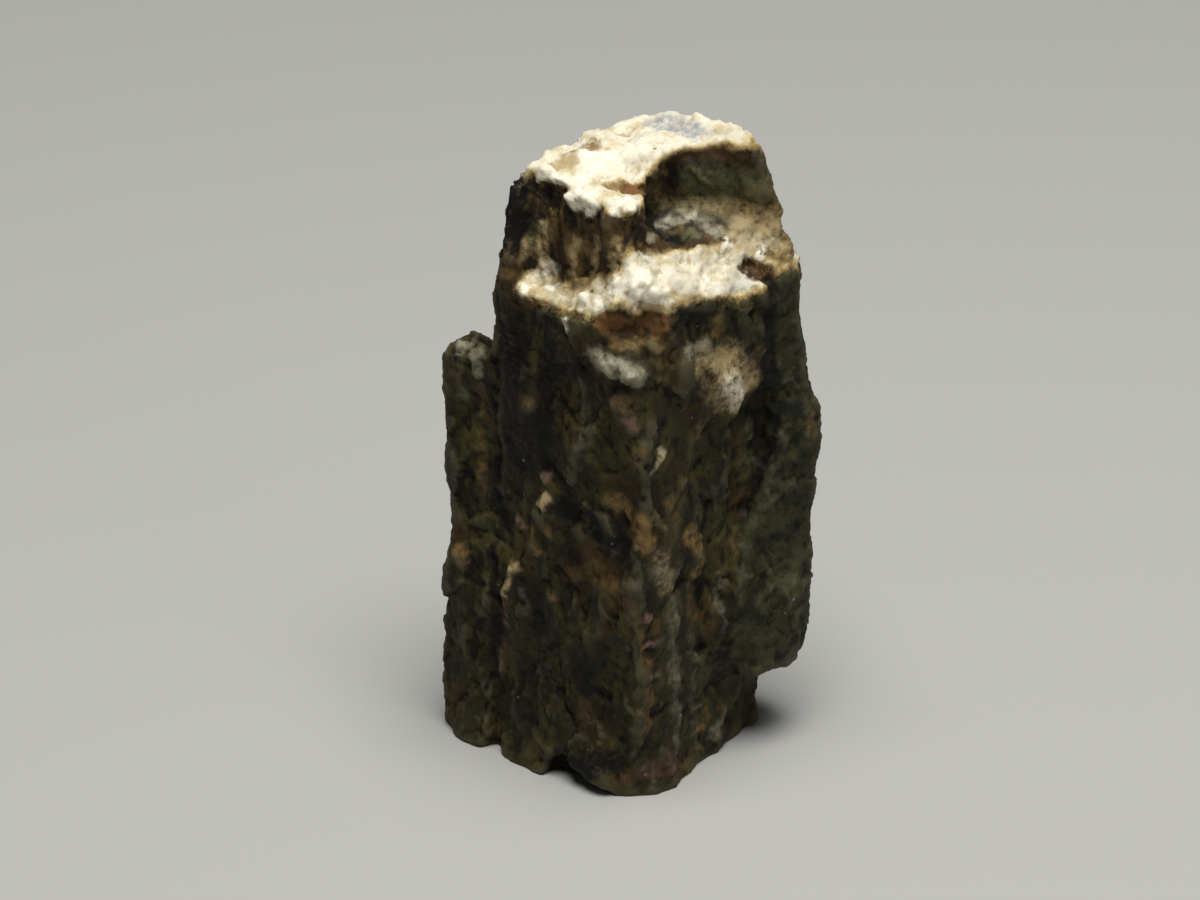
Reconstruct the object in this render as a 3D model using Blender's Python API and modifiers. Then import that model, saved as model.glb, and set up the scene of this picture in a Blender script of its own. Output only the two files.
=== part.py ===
"""A chiastolite crystal, the cross-stone variety of andalusite, standing on its flat foot.

It is one closed piece of stone. A nearly square prism carries a broken top of two steps, a
sloping shoulder and a higher tower. A thinner crystal has grown along its left face, and a
crust of mica schist hangs on its right face and ends above the foot.

The X and Y axes are square to the prism's faces and +Z runs along the crystal. The front edge,
where the left face (it looks along -X) meets the right face (it looks along -Y), points to
-X -Y. While it is built the foot of the front edge is at the origin. The finished stone is then
moved so that the middle of its bounding box is on the Z axis. Sizes are in millimetres.

Every form is a box cut by planes or an ellipsoid. A cut is a point on its plane and the plane's
outward normal, and what lies outside is taken away.
"""

import math

import bmesh
import bpy
from mathutils import Matrix, Vector, noise

MM = 0.001

# Driving dimensions.
PRISM_X = 15.9  # across the right face
PRISM_Y = 13.8  # across the left face
SHOULDER_Z = 39.8  # rim of the sloping shoulder
TOWER_Z = 50.3  # highest point of the tower
FACE_STEP = 0.6  # the upper left face lies this far behind the lower one
BELOW_FOOT = 2.0  # the rough stone starts this far under the foot, which is cut flat last

# Slopes that more than one form shares, as outward normals.
LEDGE_SLOPE = (0.03, -0.94, 1)  # the shoulder over the right face
TOP_SLOPE = (-0.070, -0.205, 0.976)  # the tower's lightly sloping top
TOWER_RIGHT_SIDE = (0.567, -0.735, 0.37)
RAMP_SLOPE = (-0.20, -0.80, 0.56)  # climbs from the shoulder's right end into the bite
RAMP_TOP_SLOPE = (-0.64, -0.57, 0.52)

# Points that more than one form shares.
LEDGE_START = (0, 0, SHOULDER_Z + 1.1)
TOWER_CORNER = (3.1, 3.7, 46.8)  # the tower's front corner
TOWER_RIGHT_END = (15.3, 0.45, 48.3)
RAMP_START = (12.2, 0.4, 42.0)
RAMP_TOP = (13.8, 1.7, 44.4)

# How fine the stone is.
VOXEL = 0.42
SOFTENING = 4  # rounds of smoothing, which wear the edges a little
TRIANGLES = 9400

# Roughness of the surface: how far it stands in and out, and how wide its features are.
LUMP_HEIGHT = 0.42
LUMP_WIDTH = 4.6
GRAIN_HEIGHT = 0.42
GRAIN_WIDTH = 1.9
GRAIN_LENGTH = 9.0  # the grain runs along the crystal
GRAIN_LOST_ON_TOP = 0.6
WAVER_HEIGHT = 0.42  # how far the edges wander
WAVER_WIDTH = 3.6
WAVER_LENGTH = 7.5
WAVER_STARTS = (76.1, 116.4, 138.9)  # where X, Y and Z begin in the noise, far apart
HACKLE_HEIGHT = 0.55
HACKLE_WIDTH = 2.6
HACKLE_FROM_Z = 38.0  # the broken top is hackly above here
HACKLE_FULL_Z = 43.0


def clear_scene():
    for obj in list(bpy.data.objects):
        bpy.data.objects.remove(obj, do_unlink=True)


def new_collection(name):
    collection = bpy.data.collections.new(name)
    bpy.context.scene.collection.children.link(collection)
    return collection


def mesh_object(name, bm, collection, helper=True):
    """A bmesh as an object. A helper is wire in the viewport and isn't rendered."""
    bmesh.ops.recalc_face_normals(bm, faces=bm.faces[:])
    mesh = bpy.data.meshes.new(name)
    bm.to_mesh(mesh)
    bm.free()
    obj = bpy.data.objects.new(name, mesh)
    collection.objects.link(obj)
    if helper:
        obj.hide_render = True
        obj.display_type = "WIRE"
    return obj


def cut_plane(bm, point, normal):
    """Takes away what lies on the plane's outer side, and closes the cut."""
    everything = bm.verts[:] + bm.edges[:] + bm.faces[:]
    bmesh.ops.bisect_plane(
        bm, geom=everything, plane_co=Vector(point), plane_no=Vector(normal), clear_outer=True
    )
    bmesh.ops.holes_fill(bm, edges=[edge for edge in bm.edges if edge.is_boundary])


def opposite(normal):
    """The other side of a plane, for the chip that leaves the plane's own side."""
    return tuple(-part for part in normal)


def block(name, collection, low, high, cuts=(), bevel=0.5):
    """A box from its low to its high corner, cut by planes and with its edges taken off."""
    low, high = Vector(low), Vector(high)
    bm = bmesh.new()
    bmesh.ops.create_cube(bm, size=1.0)
    bmesh.ops.transform(
        bm,
        matrix=Matrix.Translation((low + high) / 2) @ Matrix.Diagonal((high - low)).to_4x4(),
        verts=bm.verts[:],
    )
    for point, normal in cuts:
        cut_plane(bm, point, normal)
    bmesh.ops.dissolve_limit(
        bm, angle_limit=math.radians(1), verts=bm.verts[:], edges=bm.edges[:]
    )
    bmesh.ops.bevel(
        bm,
        geom=bm.edges[:],
        offset=bevel,
        segments=2,
        profile=0.5,
        affect="EDGES",
        clamp_overlap=True,
    )
    return mesh_object(name, bm, collection)


def pebble(name, collection, centre, radii, turn=0.0, lean=0.0):
    """An ellipsoid, turned about Z and then leaned about X, in degrees."""
    bm = bmesh.new()
    bmesh.ops.create_uvsphere(bm, u_segments=20, v_segments=12, radius=1.0)
    place = (
        Matrix.Translation(centre)
        @ Matrix.Rotation(math.radians(turn), 4, "Z")
        @ Matrix.Rotation(math.radians(lean), 4, "X")
        @ Matrix.Diagonal(radii).to_4x4()
    )
    bmesh.ops.transform(bm, matrix=place, verts=bm.verts[:])
    return mesh_object(name, bm, collection)


def build_prism(stone):
    """The main crystal up to its sloping shoulder."""
    block(
        "prism",
        stone,
        (FACE_STEP, 0, -BELOW_FOOT),
        (PRISM_X, PRISM_Y + 0.8, 45.5),
        cuts=(
            ((FACE_STEP, 0.5, SHOULDER_Z + 1.2), (-1.60, 0.46, 1)),  # shoulder, left
            (LEDGE_START, LEDGE_SLOPE),
            ((FACE_STEP, 3.5, 39.0), (-0.784, -0.603, 0.149)),  # blunt upper front edge
            ((5, PRISM_Y, 0), (0, 1, -0.022)),  # back face
            ((5, PRISM_Y + 0.7, 36.0), (0, 1, 0.286)),  # back face near the top
            ((PRISM_X - 0.2, 7, 0), (1, 0.02, -0.008)),  # far right face
        ),
    )
    block(
        "left_corner",
        stone,
        (FACE_STEP, 9.5, 25.0),
        (6.0, PRISM_Y + 0.9, 39.6),
        cuts=(
            ((FACE_STEP, 11.5, 39.2), (-0.25, -0.12, 1)),  # top
            ((FACE_STEP, 9.9, 38.5), (-0.45, -0.75, 0.48)),  # towards the shoulder's dip
            ((3, PRISM_Y + 0.8, 37.0), (0, 1, -0.16)),  # outer side, wider upwards
        ),
        bevel=0.3,
    )
    block(
        "right_shoulder",
        stone,
        (3.0, -2.4, 24.0),
        (PRISM_X + 1.2, 3.0, 45.0),
        cuts=(
            (LEDGE_START, LEDGE_SLOPE),
            ((3.5, 0, 36.0), (-0.216, -0.976, 0)),  # swells out from the front edge on
            ((10.0, -1.5, 33.0), (0.04, -0.95, -0.28)),  # fades into the face below
            ((14.0, -2.1, 38.0), (0.15, -0.98, -0.10)),
            ((16.4, -1.9, 41.0), (0.60, -0.79, 0.06)),  # right end
        ),
        bevel=0.4,
    )
    block(
        "lower_left_face",
        stone,
        (0, 0.1, -BELOW_FOOT),
        (3.0, PRISM_Y - 0.5, 27.0),
        cuts=(
            ((0, 12.5, 16.1), (0, 0.93, 0.37)),  # slanting upper left edge
            ((0, 6.0, 17.5), (-1, -0.05, 0.085)),  # leans back into the upper face
        ),
        bevel=0.3,
    )


def build_tower(stone):
    """The high part of the broken top, which rises from the shoulder in a steep step."""
    block(
        "tower",
        stone,
        (2.7, -2.2, 30.0),
        (PRISM_X + 0.6, PRISM_Y + 0.2, TOWER_Z),
        cuts=(
            ((3.2, 7.0, 44.0), (-1, -0.02, 0.05)),  # cliff over the left shoulder
            ((3.6, 4.3, 46.8), (-0.42, -0.905, 0.05)),  # cliff at the front corner
            (TOWER_RIGHT_END, TOWER_RIGHT_SIDE),
            (TOWER_CORNER, TOP_SLOPE),
            ((12.0, 12.0, 49.0), (0.06, 0.35, 1)),  # back right, which falls away
            ((5.0, 13.4, 48.5), (0.02, 1, 0.14)),  # back
            ((PRISM_X - 0.1, 7.0, 46.0), (1, 0.03, 0.06)),  # far right side
        ),
        bevel=0.45,
    )
    block(
        "tower_front",
        stone,
        (2.3, 3.2, 30.0),
        (8.0, 9.2, 47.6),
        cuts=(
            ((2.6, 6.0, 44.0), (-1, -0.04, 0.08)),  # left side
            ((3.1, 3.9, 46.8), (-0.42, -0.90, 0.08)),  # front
            (TOWER_CORNER, TOP_SLOPE),
            ((4.4, 3.4, 46.8), (0.47, -0.88, 0)),  # side of the bite
        ),
        bevel=0.3,
    )
    block(
        "tower_left_end",
        stone,
        (0.8, 12.5, 30.0),
        (4.5, PRISM_Y + 0.5, 48.3),
        cuts=(
            ((1.75, 13.0, 48.0), (-0.985, 0.05, 0.15)),  # flares out downwards
            ((1.0, 12.9, 42.0), (-0.60, -0.80, 0.20)),  # front corner
            ((3.0, 13.4, 48.3), (0, 0.99, 0.13)),  # back
        ),
        bevel=0.3,
    )
    block(
        "tower_crest",
        stone,
        (7.0, -0.6, 45.0),
        (PRISM_X - 0.1, 12.6, TOWER_Z + 0.6),
        cuts=(
            ((15.7, 6.0, 50.4), (-0.27, -0.12, 1)),  # slope down to the front left
            ((15.7, 6.6, 50.4), (-0.18, 0.36, 1)),  # falls away to the back
            ((15.7, 3.4, 50.7), (-0.12, -0.28, 1)),  # and, ever steeper, to the right
            ((15.9, 1.0, 49.7), (0.20, -1.30, 1)),
            (TOWER_RIGHT_END, TOWER_RIGHT_SIDE),
            ((12.5, 12.2, 48.6), (0.05, 0.85, 0.60)),  # back end
            ((8.2, 7.0, 47.8), (-0.80, -0.20, 0.50)),  # left end
        ),
        bevel=0.5,
    )


def build_ramp(stone):
    """The slope at the right end of the shoulder, which climbs to the tower."""
    block(
        "ramp",
        stone,
        (9.5, -2.6, 39.2),
        (PRISM_X + 0.5, 3.6, 46.0),
        cuts=(
            (RAMP_START, RAMP_SLOPE),
            (RAMP_TOP, RAMP_TOP_SLOPE),
            (TOWER_RIGHT_END, TOWER_RIGHT_SIDE),
            ((16.2, -1.7, 41.0), (0.60, -0.79, 0.06)),  # right end
        ),
        bevel=0.5,
    )


def build_side_crystal(stone):
    """The thinner crystal that has grown along the left face."""
    block(
        "side_crystal",
        stone,
        (0.9, PRISM_Y - 0.4, -BELOW_FOOT),
        (8.4, 19.2, 33.0),
        cuts=(
            ((8.0, 18.2, 20.0), (0.75, 0.65, 0.04)),  # back edge
            ((0.9, 18.5, 22.0), (-0.75, 0.65, 0)),  # outer edge
            ((3.0, 16.0, 31.6), (0.62, -0.05, 0.78)),  # broken top, sloping to the back
        ),
        bevel=0.5,
    )
    block(
        "side_crystal_head",
        stone,
        (0.8, PRISM_Y + 0.2, 22.0),
        (6.8, 20.0, 33.2),
        cuts=(
            ((1.2, 18.4, 32.5), (-0.20, 0.70, 0.85)),  # top, outer end
            ((0.8, 16.4, 32.2), (-0.75, -0.10, 0.85)),  # top, front
            ((2.4, 16.0, 33.0), (0.56, -0.12, 0.82)),  # top, back
            ((0.8, 19.1, 28.0), (-0.75, 0.65, 0)),  # outer edge
            ((2.0, 19.4, 25.0), (0, 0.90, -0.26)),  # narrows downwards
            ((5.8, 18.8, 28.0), (0.70, 0.70, 0)),  # back edge
            ((0.9, 17.0, 25.5), (-0.80, 0, -0.30)),  # front, under the head
        ),
        bevel=0.45,
    )
    block(
        "side_crystal_foot",
        stone,
        (0.2, 14.2, -BELOW_FOOT),
        (7.4, 19.9, 17.4),
        cuts=(
            ((0.4, 17.0, 16.2), (-0.62, 0.35, 0.70)),  # slanting top
            ((0.2, 19.3, 8.0), (-0.75, 0.65, 0)),  # outer edge
            ((2.0, 19.5, 12.0), (0, 1, 0.10)),  # outer side
            ((7.0, 18.9, 8.0), (0.70, 0.70, 0)),  # back edge
        ),
        bevel=0.5,
    )


def build_toes(stone):
    """The foot flares out a little past the faces above it."""
    block(
        "left_toe",
        stone,
        (-1.8, 0.4, -BELOW_FOOT),
        (3.0, PRISM_Y - 0.6, 9.0),
        cuts=(
            ((-1.7, 7.0, 0), (-1, 0.02, 0.22)),
            ((-0.9, 1.2, 0), (-0.75, -0.65, 0.20)),  # front corner
            ((-1.2, 12.6, 0), (-0.60, 0.80, 0.20)),  # back corner
        ),
        bevel=0.4,
    )
    block(
        "right_toe",
        stone,
        (0.6, -0.9, -BELOW_FOOT),
        (13.5, 3.0, 7.0),
        cuts=(
            ((3.0, -0.8, 0), (0.075, -1, 0.14)),
            ((0.9, -0.5, 0), (-0.80, -0.60, 0.15)),  # front corner
        ),
        bevel=0.3,
    )
    block(
        "side_toe",
        stone,
        (-1.2, PRISM_Y + 0.4, -BELOW_FOOT),
        (3.0, 19.2, 8.0),
        cuts=(
            ((-1.1, 15.5, 0), (-1, 0.10, 0.17)),
            ((-0.5, 18.4, 0), (-0.75, 0.65, 0.12)),  # outer edge
        ),
        bevel=0.4,
    )


def build_crust(stone):
    """The schist that hangs on the right face, round the prism's right edge."""
    block(
        "crust",
        stone,
        (8.2, -3.4, 5.6),
        (18.6, 6.4, 31.0),
        cuts=(
            ((15.4, 0, 28.0), (-0.93, 0, 0.366)),  # slanting left edge
            ((12.0, -2.0, 6.4), (0.03, -0.06, -1)),  # lower end
            ((14.5, -2.5, 20.0), (-0.42, -1, 0.08)),  # front
            ((9.4, -1.0, 12.0), (-0.70, -0.70, 0)),  # thins out to the left
            ((18.0, -3.1, 20.0), (0.611, -0.792, -0.06)),  # right front edge
            ((18.1, 4.5, 20.0), (0.88, 0.45, 0.02)),  # far right side
            ((17.4, -2.4, 6.6), (0.40, -0.50, -0.76)),  # lower right corner
            ((17.4, -2.6, 29.0), (0.45, -0.55, 0.70)),  # upper right corner
        ),
        bevel=1.0,
    )
    block(
        "crust_top",
        stone,
        (14.6, -3.2, 20.0),
        (18.6, 5.6, 40.4),
        cuts=(
            ((18.0, -3.2, 24.5), (0.605, -0.783, 0.13)),  # right front edge, leaning in
            ((16.9, -2.1, 39.2), (0.42, -0.50, 0.75)),  # upper end
            ((17.8, 4.4, 30.0), (0.85, 0.50, 0.10)),  # far right side
            ((15.2, -1.4, 32.0), (-0.75, -0.66, 0.05)),  # left side
        ),
        bevel=0.8,
    )
    block(
        "crust_back",
        stone,
        (14.6, 3.4, 9.0),
        (17.0, 12.6, 33.0),
        cuts=(
            ((16.4, 11.6, 20.0), (0.55, 0.83, 0.05)),  # back edge
            ((16.0, 8.0, 31.0), (0.40, 0.35, 0.85)),  # upper end
            ((16.0, 9.0, 11.0), (0.35, 0.30, -0.88)),  # lower end
        ),
        bevel=0.8,
    )


def build_knobs(stone):
    """Bumps that stand a little out of the faces."""
    pebble("sill", stone, (1.5, 2.5, 35.4), (1.2, 2.6, 0.8), turn=38, lean=-8)
    pebble("right_bulge", stone, (10.4, 0.9, 31.4), (3.2, 1.9, 4.0), lean=4)
    pebble("edge_bulge", stone, (2.0, 1.3, 27.5), (1.5, 1.4, 4.4), turn=35)
    pebble("left_rib", stone, (1.0, 10.4, 29.5), (0.9, 1.3, 6.5))
    pebble("back_mound", stone, (12.2, 13.2, 17.0), (3.4, 1.6, 9.0), turn=6)
    pebble("bite_sill", stone, (10.5, 3.3, 43.1), (0.9, 2.3, 0.9), turn=33)
    pebble("bite_slope", stone, (13.4, 2.4, 43.0), (1.6, 3.2, 1.8), turn=36)
    pebble("rim_bead", stone, (14.4, -0.4, 40.5), (1.2, 0.9, 0.7))


def build_chips(chips):
    """What has broken out of the stone."""
    block(
        "tower_bite",
        chips,
        (3.6, -6.0, 38.0),
        (19.0, 9.0, 55.0),
        cuts=(
            ((4.4, 3.4, 46.8), (-0.56, 0.83, 0.04)),  # left wall
            ((11.3, 4.6, 48.4), (0.80, 0.60, 0.02)),  # back wall
            ((9.6, 5.3, 47.9), (0.30, 0.94, 0.20)),  # corner between the two
            ((10.8, 4.9, 48.3), (0.60, 0.80, 0.30)),
            ((10.0, 3.5, 43.0), (-0.06, -0.10, -1)),  # floor
            (RAMP_TOP, opposite(RAMP_TOP_SLOPE)),
        ),
        bevel=0.5,
    )
    block(
        "over_ramp",
        chips,
        (9.5, -6.0, 38.5),
        (19.0, 4.0, 45.5),
        cuts=(
            (RAMP_START, opposite(RAMP_SLOPE)),
            (RAMP_TOP, opposite(RAMP_TOP_SLOPE)),
            ((11.3, 4.6, 48.4), (0.80, 0.60, 0.02)),  # back wall of the bite
        ),
        bevel=0.4,
    )
    pebble("bite_pit", chips, (8.3, 3.4, 43.0), (1.0, 2.1, 1.3), turn=40)
    pebble("shoulder_scoop", chips, (-0.2, 7.6, 39.9), (1.6, 2.2, 1.6))
    pebble("niche", chips, (0.9, 2.3, 38.3), (1.5, 2.8, 1.5), turn=38)
    pebble("under_rim", chips, (6.0, -1.2, 37.6), (2.9, 1.2, 1.9), turn=-10)
    pebble("left_trough", chips, (0.3, 7.4, 31.8), (0.8, 1.4, 6.6))
    pebble("right_hollow", chips, (7.4, -0.1, 24.2), (1.7, 0.9, 2.6))
    pebble("fresh_face", chips, (-0.6, 4.0, 19.4), (1.8, 4.2, 2.5), lean=-12)
    pebble("crust_gap", chips, (9.2, -1.0, 6.4), (1.0, 1.0, 1.4), lean=14)
    pebble("top_notch", chips, (13.2, 13.2, 48.9), (0.9, 1.6, 1.1), turn=20)
    pebble("top_dimple", chips, (7.2, 12.2, 49.7), (2.4, 1.7, 1.6), turn=15)
    block(
        "foot_chip",
        chips,
        (-4.0, 1.8, -BELOW_FOOT - 1),
        (0.3, 8.4, 6.0),
        cuts=(
            ((-1.6, 7.2, 3.1), (0.55, -0.55, 1)),  # ceiling, lower towards the front edge
            ((-1.6, 7.9, 0), (-0.15, 1, 0.30)),  # left wall
        ),
        bevel=0.4,
    )
    block(
        "side_groove",
        chips,
        (-3.0, PRISM_Y - 0.25, -BELOW_FOOT - 1),
        (1.4, PRISM_Y + 0.35, 33.0),
        cuts=(((1.4, PRISM_Y, 9.0), (1, 0, -0.27)),),  # shallow where the foot flares out
        bevel=0.15,
    )


def ramp(value, start, end):
    """0 at start and 1 at end, easing in and out."""
    share = min(1.0, max(0.0, (value - start) / (end - start)))
    return share * share * (3 - 2 * share)


def roughness(point):
    """How far the surface stands out at a point, in millimetres."""
    lumps = noise.noise(point / LUMP_WIDTH)
    along = Vector((point.x / GRAIN_WIDTH, point.y / GRAIN_WIDTH, point.z / GRAIN_LENGTH))
    grain = noise.noise(along + Vector((31, 7, 5)))
    distances, _ = noise.voronoi(point / HACKLE_WIDTH)
    hackle = 0.5 - distances[0]
    broken = ramp(point.z, HACKLE_FROM_Z, HACKLE_FULL_Z)
    faces = GRAIN_HEIGHT * grain * (1 - GRAIN_LOST_ON_TOP * broken)
    return LUMP_HEIGHT * lumps + faces + HACKLE_HEIGHT * hackle * broken


def join_blocks(stone, chips, collection):
    """One object: the blocks joined, the chips taken out, and the whole softened."""
    body = block("rough_body", collection, (4, 4, -BELOW_FOOT), (12, 10, 30))
    body.hide_render = False
    join = body.modifiers.new("join", "BOOLEAN")
    join.operation = "UNION"
    join.operand_type = "COLLECTION"
    join.collection = stone
    chip = body.modifiers.new("chip", "BOOLEAN")
    chip.operation = "DIFFERENCE"
    chip.operand_type = "COLLECTION"
    chip.collection = chips
    remesh = body.modifiers.new("remesh", "REMESH")
    remesh.mode = "VOXEL"
    remesh.voxel_size = VOXEL
    soften = body.modifiers.new("soften", "SMOOTH")
    soften.factor = 0.5
    soften.iterations = SOFTENING
    return body


def evaluated_mesh(obj):
    return bpy.data.meshes.new_from_object(
        obj.evaluated_get(bpy.context.evaluated_depsgraph_get())
    )


def waver(point):
    """How far a point wanders along X, Y and Z, in millimetres, so that no edge runs straight."""
    along = Vector((point.x / WAVER_WIDTH, point.y / WAVER_WIDTH, point.z / WAVER_LENGTH))
    shifts = [noise.noise(along + Vector((0, 0, start))) for start in WAVER_STARTS]
    return WAVER_HEIGHT * Vector(shifts)


def roughen(mesh):
    """Lets the edges wander, and moves each point in or out by the surface's roughness."""
    normals = [vertex.normal.copy() for vertex in mesh.vertices]
    for vertex, normal in zip(mesh.vertices, normals):
        vertex.co += waver(vertex.co) + normal * roughness(vertex.co)


def flatten_foot(mesh):
    """Cuts the stone off flat at Z = 0 and closes it with one face."""
    bm = bmesh.new()
    bm.from_mesh(mesh)
    cut_plane(bm, (0, 0, 0), (0, 0, -1))
    bmesh.ops.triangulate(bm, faces=[face for face in bm.faces if len(face.verts) > 3])
    bmesh.ops.recalc_face_normals(bm, faces=bm.faces[:])
    bm.to_mesh(mesh)
    bm.free()


def centre_on_axis(mesh):
    """Moves the middle of the bounding box onto the Z axis, and turns millimetres to metres."""
    xs = [vertex.co.x for vertex in mesh.vertices]
    ys = [vertex.co.y for vertex in mesh.vertices]
    middle = Vector(((min(xs) + max(xs)) / 2, (min(ys) + max(ys)) / 2, 0))
    mesh.transform(Matrix.Scale(MM, 4) @ Matrix.Translation(-middle))


def stone_material():
    """Dark brown andalusite."""
    material = bpy.data.materials.new("chiastolite")
    material.use_nodes = True
    shader = material.node_tree.nodes["Principled BSDF"]
    shader.inputs["Base Color"].default_value = (0.075, 0.060, 0.038, 1)
    shader.inputs["Roughness"].default_value = 0.62
    shader.inputs["Metallic"].default_value = 0.0
    return material


def main():
    clear_scene()
    stone = new_collection("stone_blocks")
    chips = new_collection("chips")
    finished = new_collection("chiastolite_crystal")
    build_prism(stone)
    build_tower(stone)
    build_ramp(stone)
    build_side_crystal(stone)
    build_toes(stone)
    build_crust(stone)
    build_knobs(stone)
    build_chips(chips)
    body = join_blocks(stone, chips, finished)
    mesh = evaluated_mesh(body)
    bpy.data.objects.remove(body)
    roughen(mesh)
    fine = bpy.data.objects.new("fine_stone", mesh)
    finished.objects.link(fine)
    thin = fine.modifiers.new("thin", "DECIMATE")
    thin.ratio = TRIANGLES / (2 * len(mesh.polygons))
    thin.use_collapse_triangulate = True
    coarse = evaluated_mesh(fine)
    bpy.data.objects.remove(fine)
    flatten_foot(coarse)
    centre_on_axis(coarse)
    crystal = bpy.data.objects.new("chiastolite_crystal", coarse)
    finished.objects.link(crystal)
    coarse.materials.append(stone_material())


main()
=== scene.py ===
"""A chiastolite crystal: a rough square prism with a broken stepped top, dressed on its solid.

Its left face looks to -X and its right face to -Y. The break above them has two steps: the
shoulder, and the tower with its cliff and its broken top, the cap. The bite is the gap in the
tower's right half, and the ramp climbs into it from the shoulder's right end. The niche and the
sill below it lie under the shoulder's rim, at the front edge between the two faces.
"""

import math
import random
from typing import NamedTuple

import bmesh
import bpy
import numpy as np
from bpy.props import FloatProperty, FloatVectorProperty, IntProperty, PointerProperty
from bpy.types import NodeSocket, Operator, Panel, PropertyGroup
from mathutils import Matrix, Vector, noise


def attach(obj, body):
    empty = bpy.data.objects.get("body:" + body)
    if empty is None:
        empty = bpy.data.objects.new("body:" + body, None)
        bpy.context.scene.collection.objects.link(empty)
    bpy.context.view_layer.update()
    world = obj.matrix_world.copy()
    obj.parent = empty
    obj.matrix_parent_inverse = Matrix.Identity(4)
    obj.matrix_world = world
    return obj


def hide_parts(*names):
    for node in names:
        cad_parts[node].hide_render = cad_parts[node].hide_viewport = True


bl_info = {
    "name": "Chiastolite crystal",
    "version": (1, 0, 0),
    "blender": (4, 5, 0),
    "location": "3D View > Sidebar > Crystal",
    "description": "Dresses the solid of a chiastolite crystal with its broken stone and mica",
    "category": "Mesh",
}

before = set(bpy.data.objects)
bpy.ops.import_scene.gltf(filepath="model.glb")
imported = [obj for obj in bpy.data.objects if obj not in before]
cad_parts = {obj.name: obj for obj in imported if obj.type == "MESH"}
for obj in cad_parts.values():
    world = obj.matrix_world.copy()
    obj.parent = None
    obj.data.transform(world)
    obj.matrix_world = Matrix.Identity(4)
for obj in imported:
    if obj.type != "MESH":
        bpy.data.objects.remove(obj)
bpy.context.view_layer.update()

SOLID = "chiastolite_crystal"
STONE = "chiastolite_stone"
MICA = "mica_scales"
MM = 0.001


def linear(hex_colour):
    """An sRGB colour such as #c8b090 as linear red, green and blue."""
    channels = [int(hex_colour[i:i + 2], 16) / 255 for i in (1, 3, 5)]
    return tuple(c / 12.92 if c <= 0.04045 else ((c + 0.055) / 1.055) ** 2.4 for c in channels)


# ---------------------------------------------------------------- where each mineral shows


class Mark(NamedTuple):
    """A soft patch or streak from start to end, in mm.

    The face stands out by swell in its middle, or lies that much deeper where swell is negative.
    """

    start: tuple
    end: tuple
    radius: float
    strength: float
    swell: float = 0.0


def patches(*rows):
    """Marks from rows of start, end, radius, strength and perhaps swell; a round one has no end."""
    return [Mark(*row) if isinstance(row[1], tuple) else Mark(row[0], *row) for row in rows]


UMBER_AND_SHADE = patches(
    # floor of the bite, darkened as painted shade
    ((0.4, -4.2, 42.7), (3.2, -6.4, 42.8), 1.3, 0.5),
    ((-1.8, -4.8, 43.0), (1.6, -6.3, 42.7), 0.9, 1.0),
    # cap: its rim over the bite, and the gap between its knobs, darkened as painted shade
    ((1.9, -3.4, 48.2), (4.1, -5.6, 48.7), 0.7, 0.6),
    ((4.3, -6.2, 48.6), (5.3, -7.6, 48.0), 0.9, 0.6),
    ((1.8, -3.2, 48.4), (4.4, -6.6, 48.5), 0.8, 0.7, -0.1),
    ((-6.0, -2.5, 46.9), 0.5, 0.8, -0.2),
    # niche, darkened as painted shade, and rusty hole at the shoulder's right end
    ((-7.8, -4.6, 38.7), (-5.9, -7.2, 38.6), 1.4, 1.0, -0.2),
    ((4.0, -8.8, 40.5), (4.8, -9.9, 39.6), 0.95, 1.3, -0.55),
    # streaks over the shoulder and along the cliff's foot
    ((-6.1, 1.4, 41.6), (-6.8, 1.4, 39.7), 0.5, 0.9, -0.2),
    ((-6.5, 4.0, 42.0), (-7.6, 4.6, 39.8), 0.9, 0.75),
    ((-6.1, -0.2, 42.6), (-6.9, -0.6, 40.0), 0.5, 0.65, -0.15),
    ((-5.9, -2.6, 42.6), (-6.7, -2.9, 41.2), 0.6, 0.55, -0.15),
    ((-5.1, -4.9, 43.4), (-2.3, -6.4, 43.2), 0.6, 0.55),
    ((-3.8, -4.9, 43.4), (-1.6, -5.4, 43.0), 0.7, 0.8),
    # broad clouds on the faces
    ((-7.8, -3.4, 18.6), (-8.3, -6.2, 17.0), 2.4, 0.5),
    ((-7.8, -6.0, 25.5), 2.6, 0.45),
    ((-8.1, -5.0, 31.5), 2.4, 0.3),
    ((-8.6, -4.0, 5.5), 2.6, 0.35),
    ((-2.3, -8.6, 30.5), 2.4, 0.4),
)

# Near-black carbon dust, and painted shade: these marks darken the hollows, cracks, grooves, the
# chipped foot, the niche's roof, the bite and the cliff, where shade falls.
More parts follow.
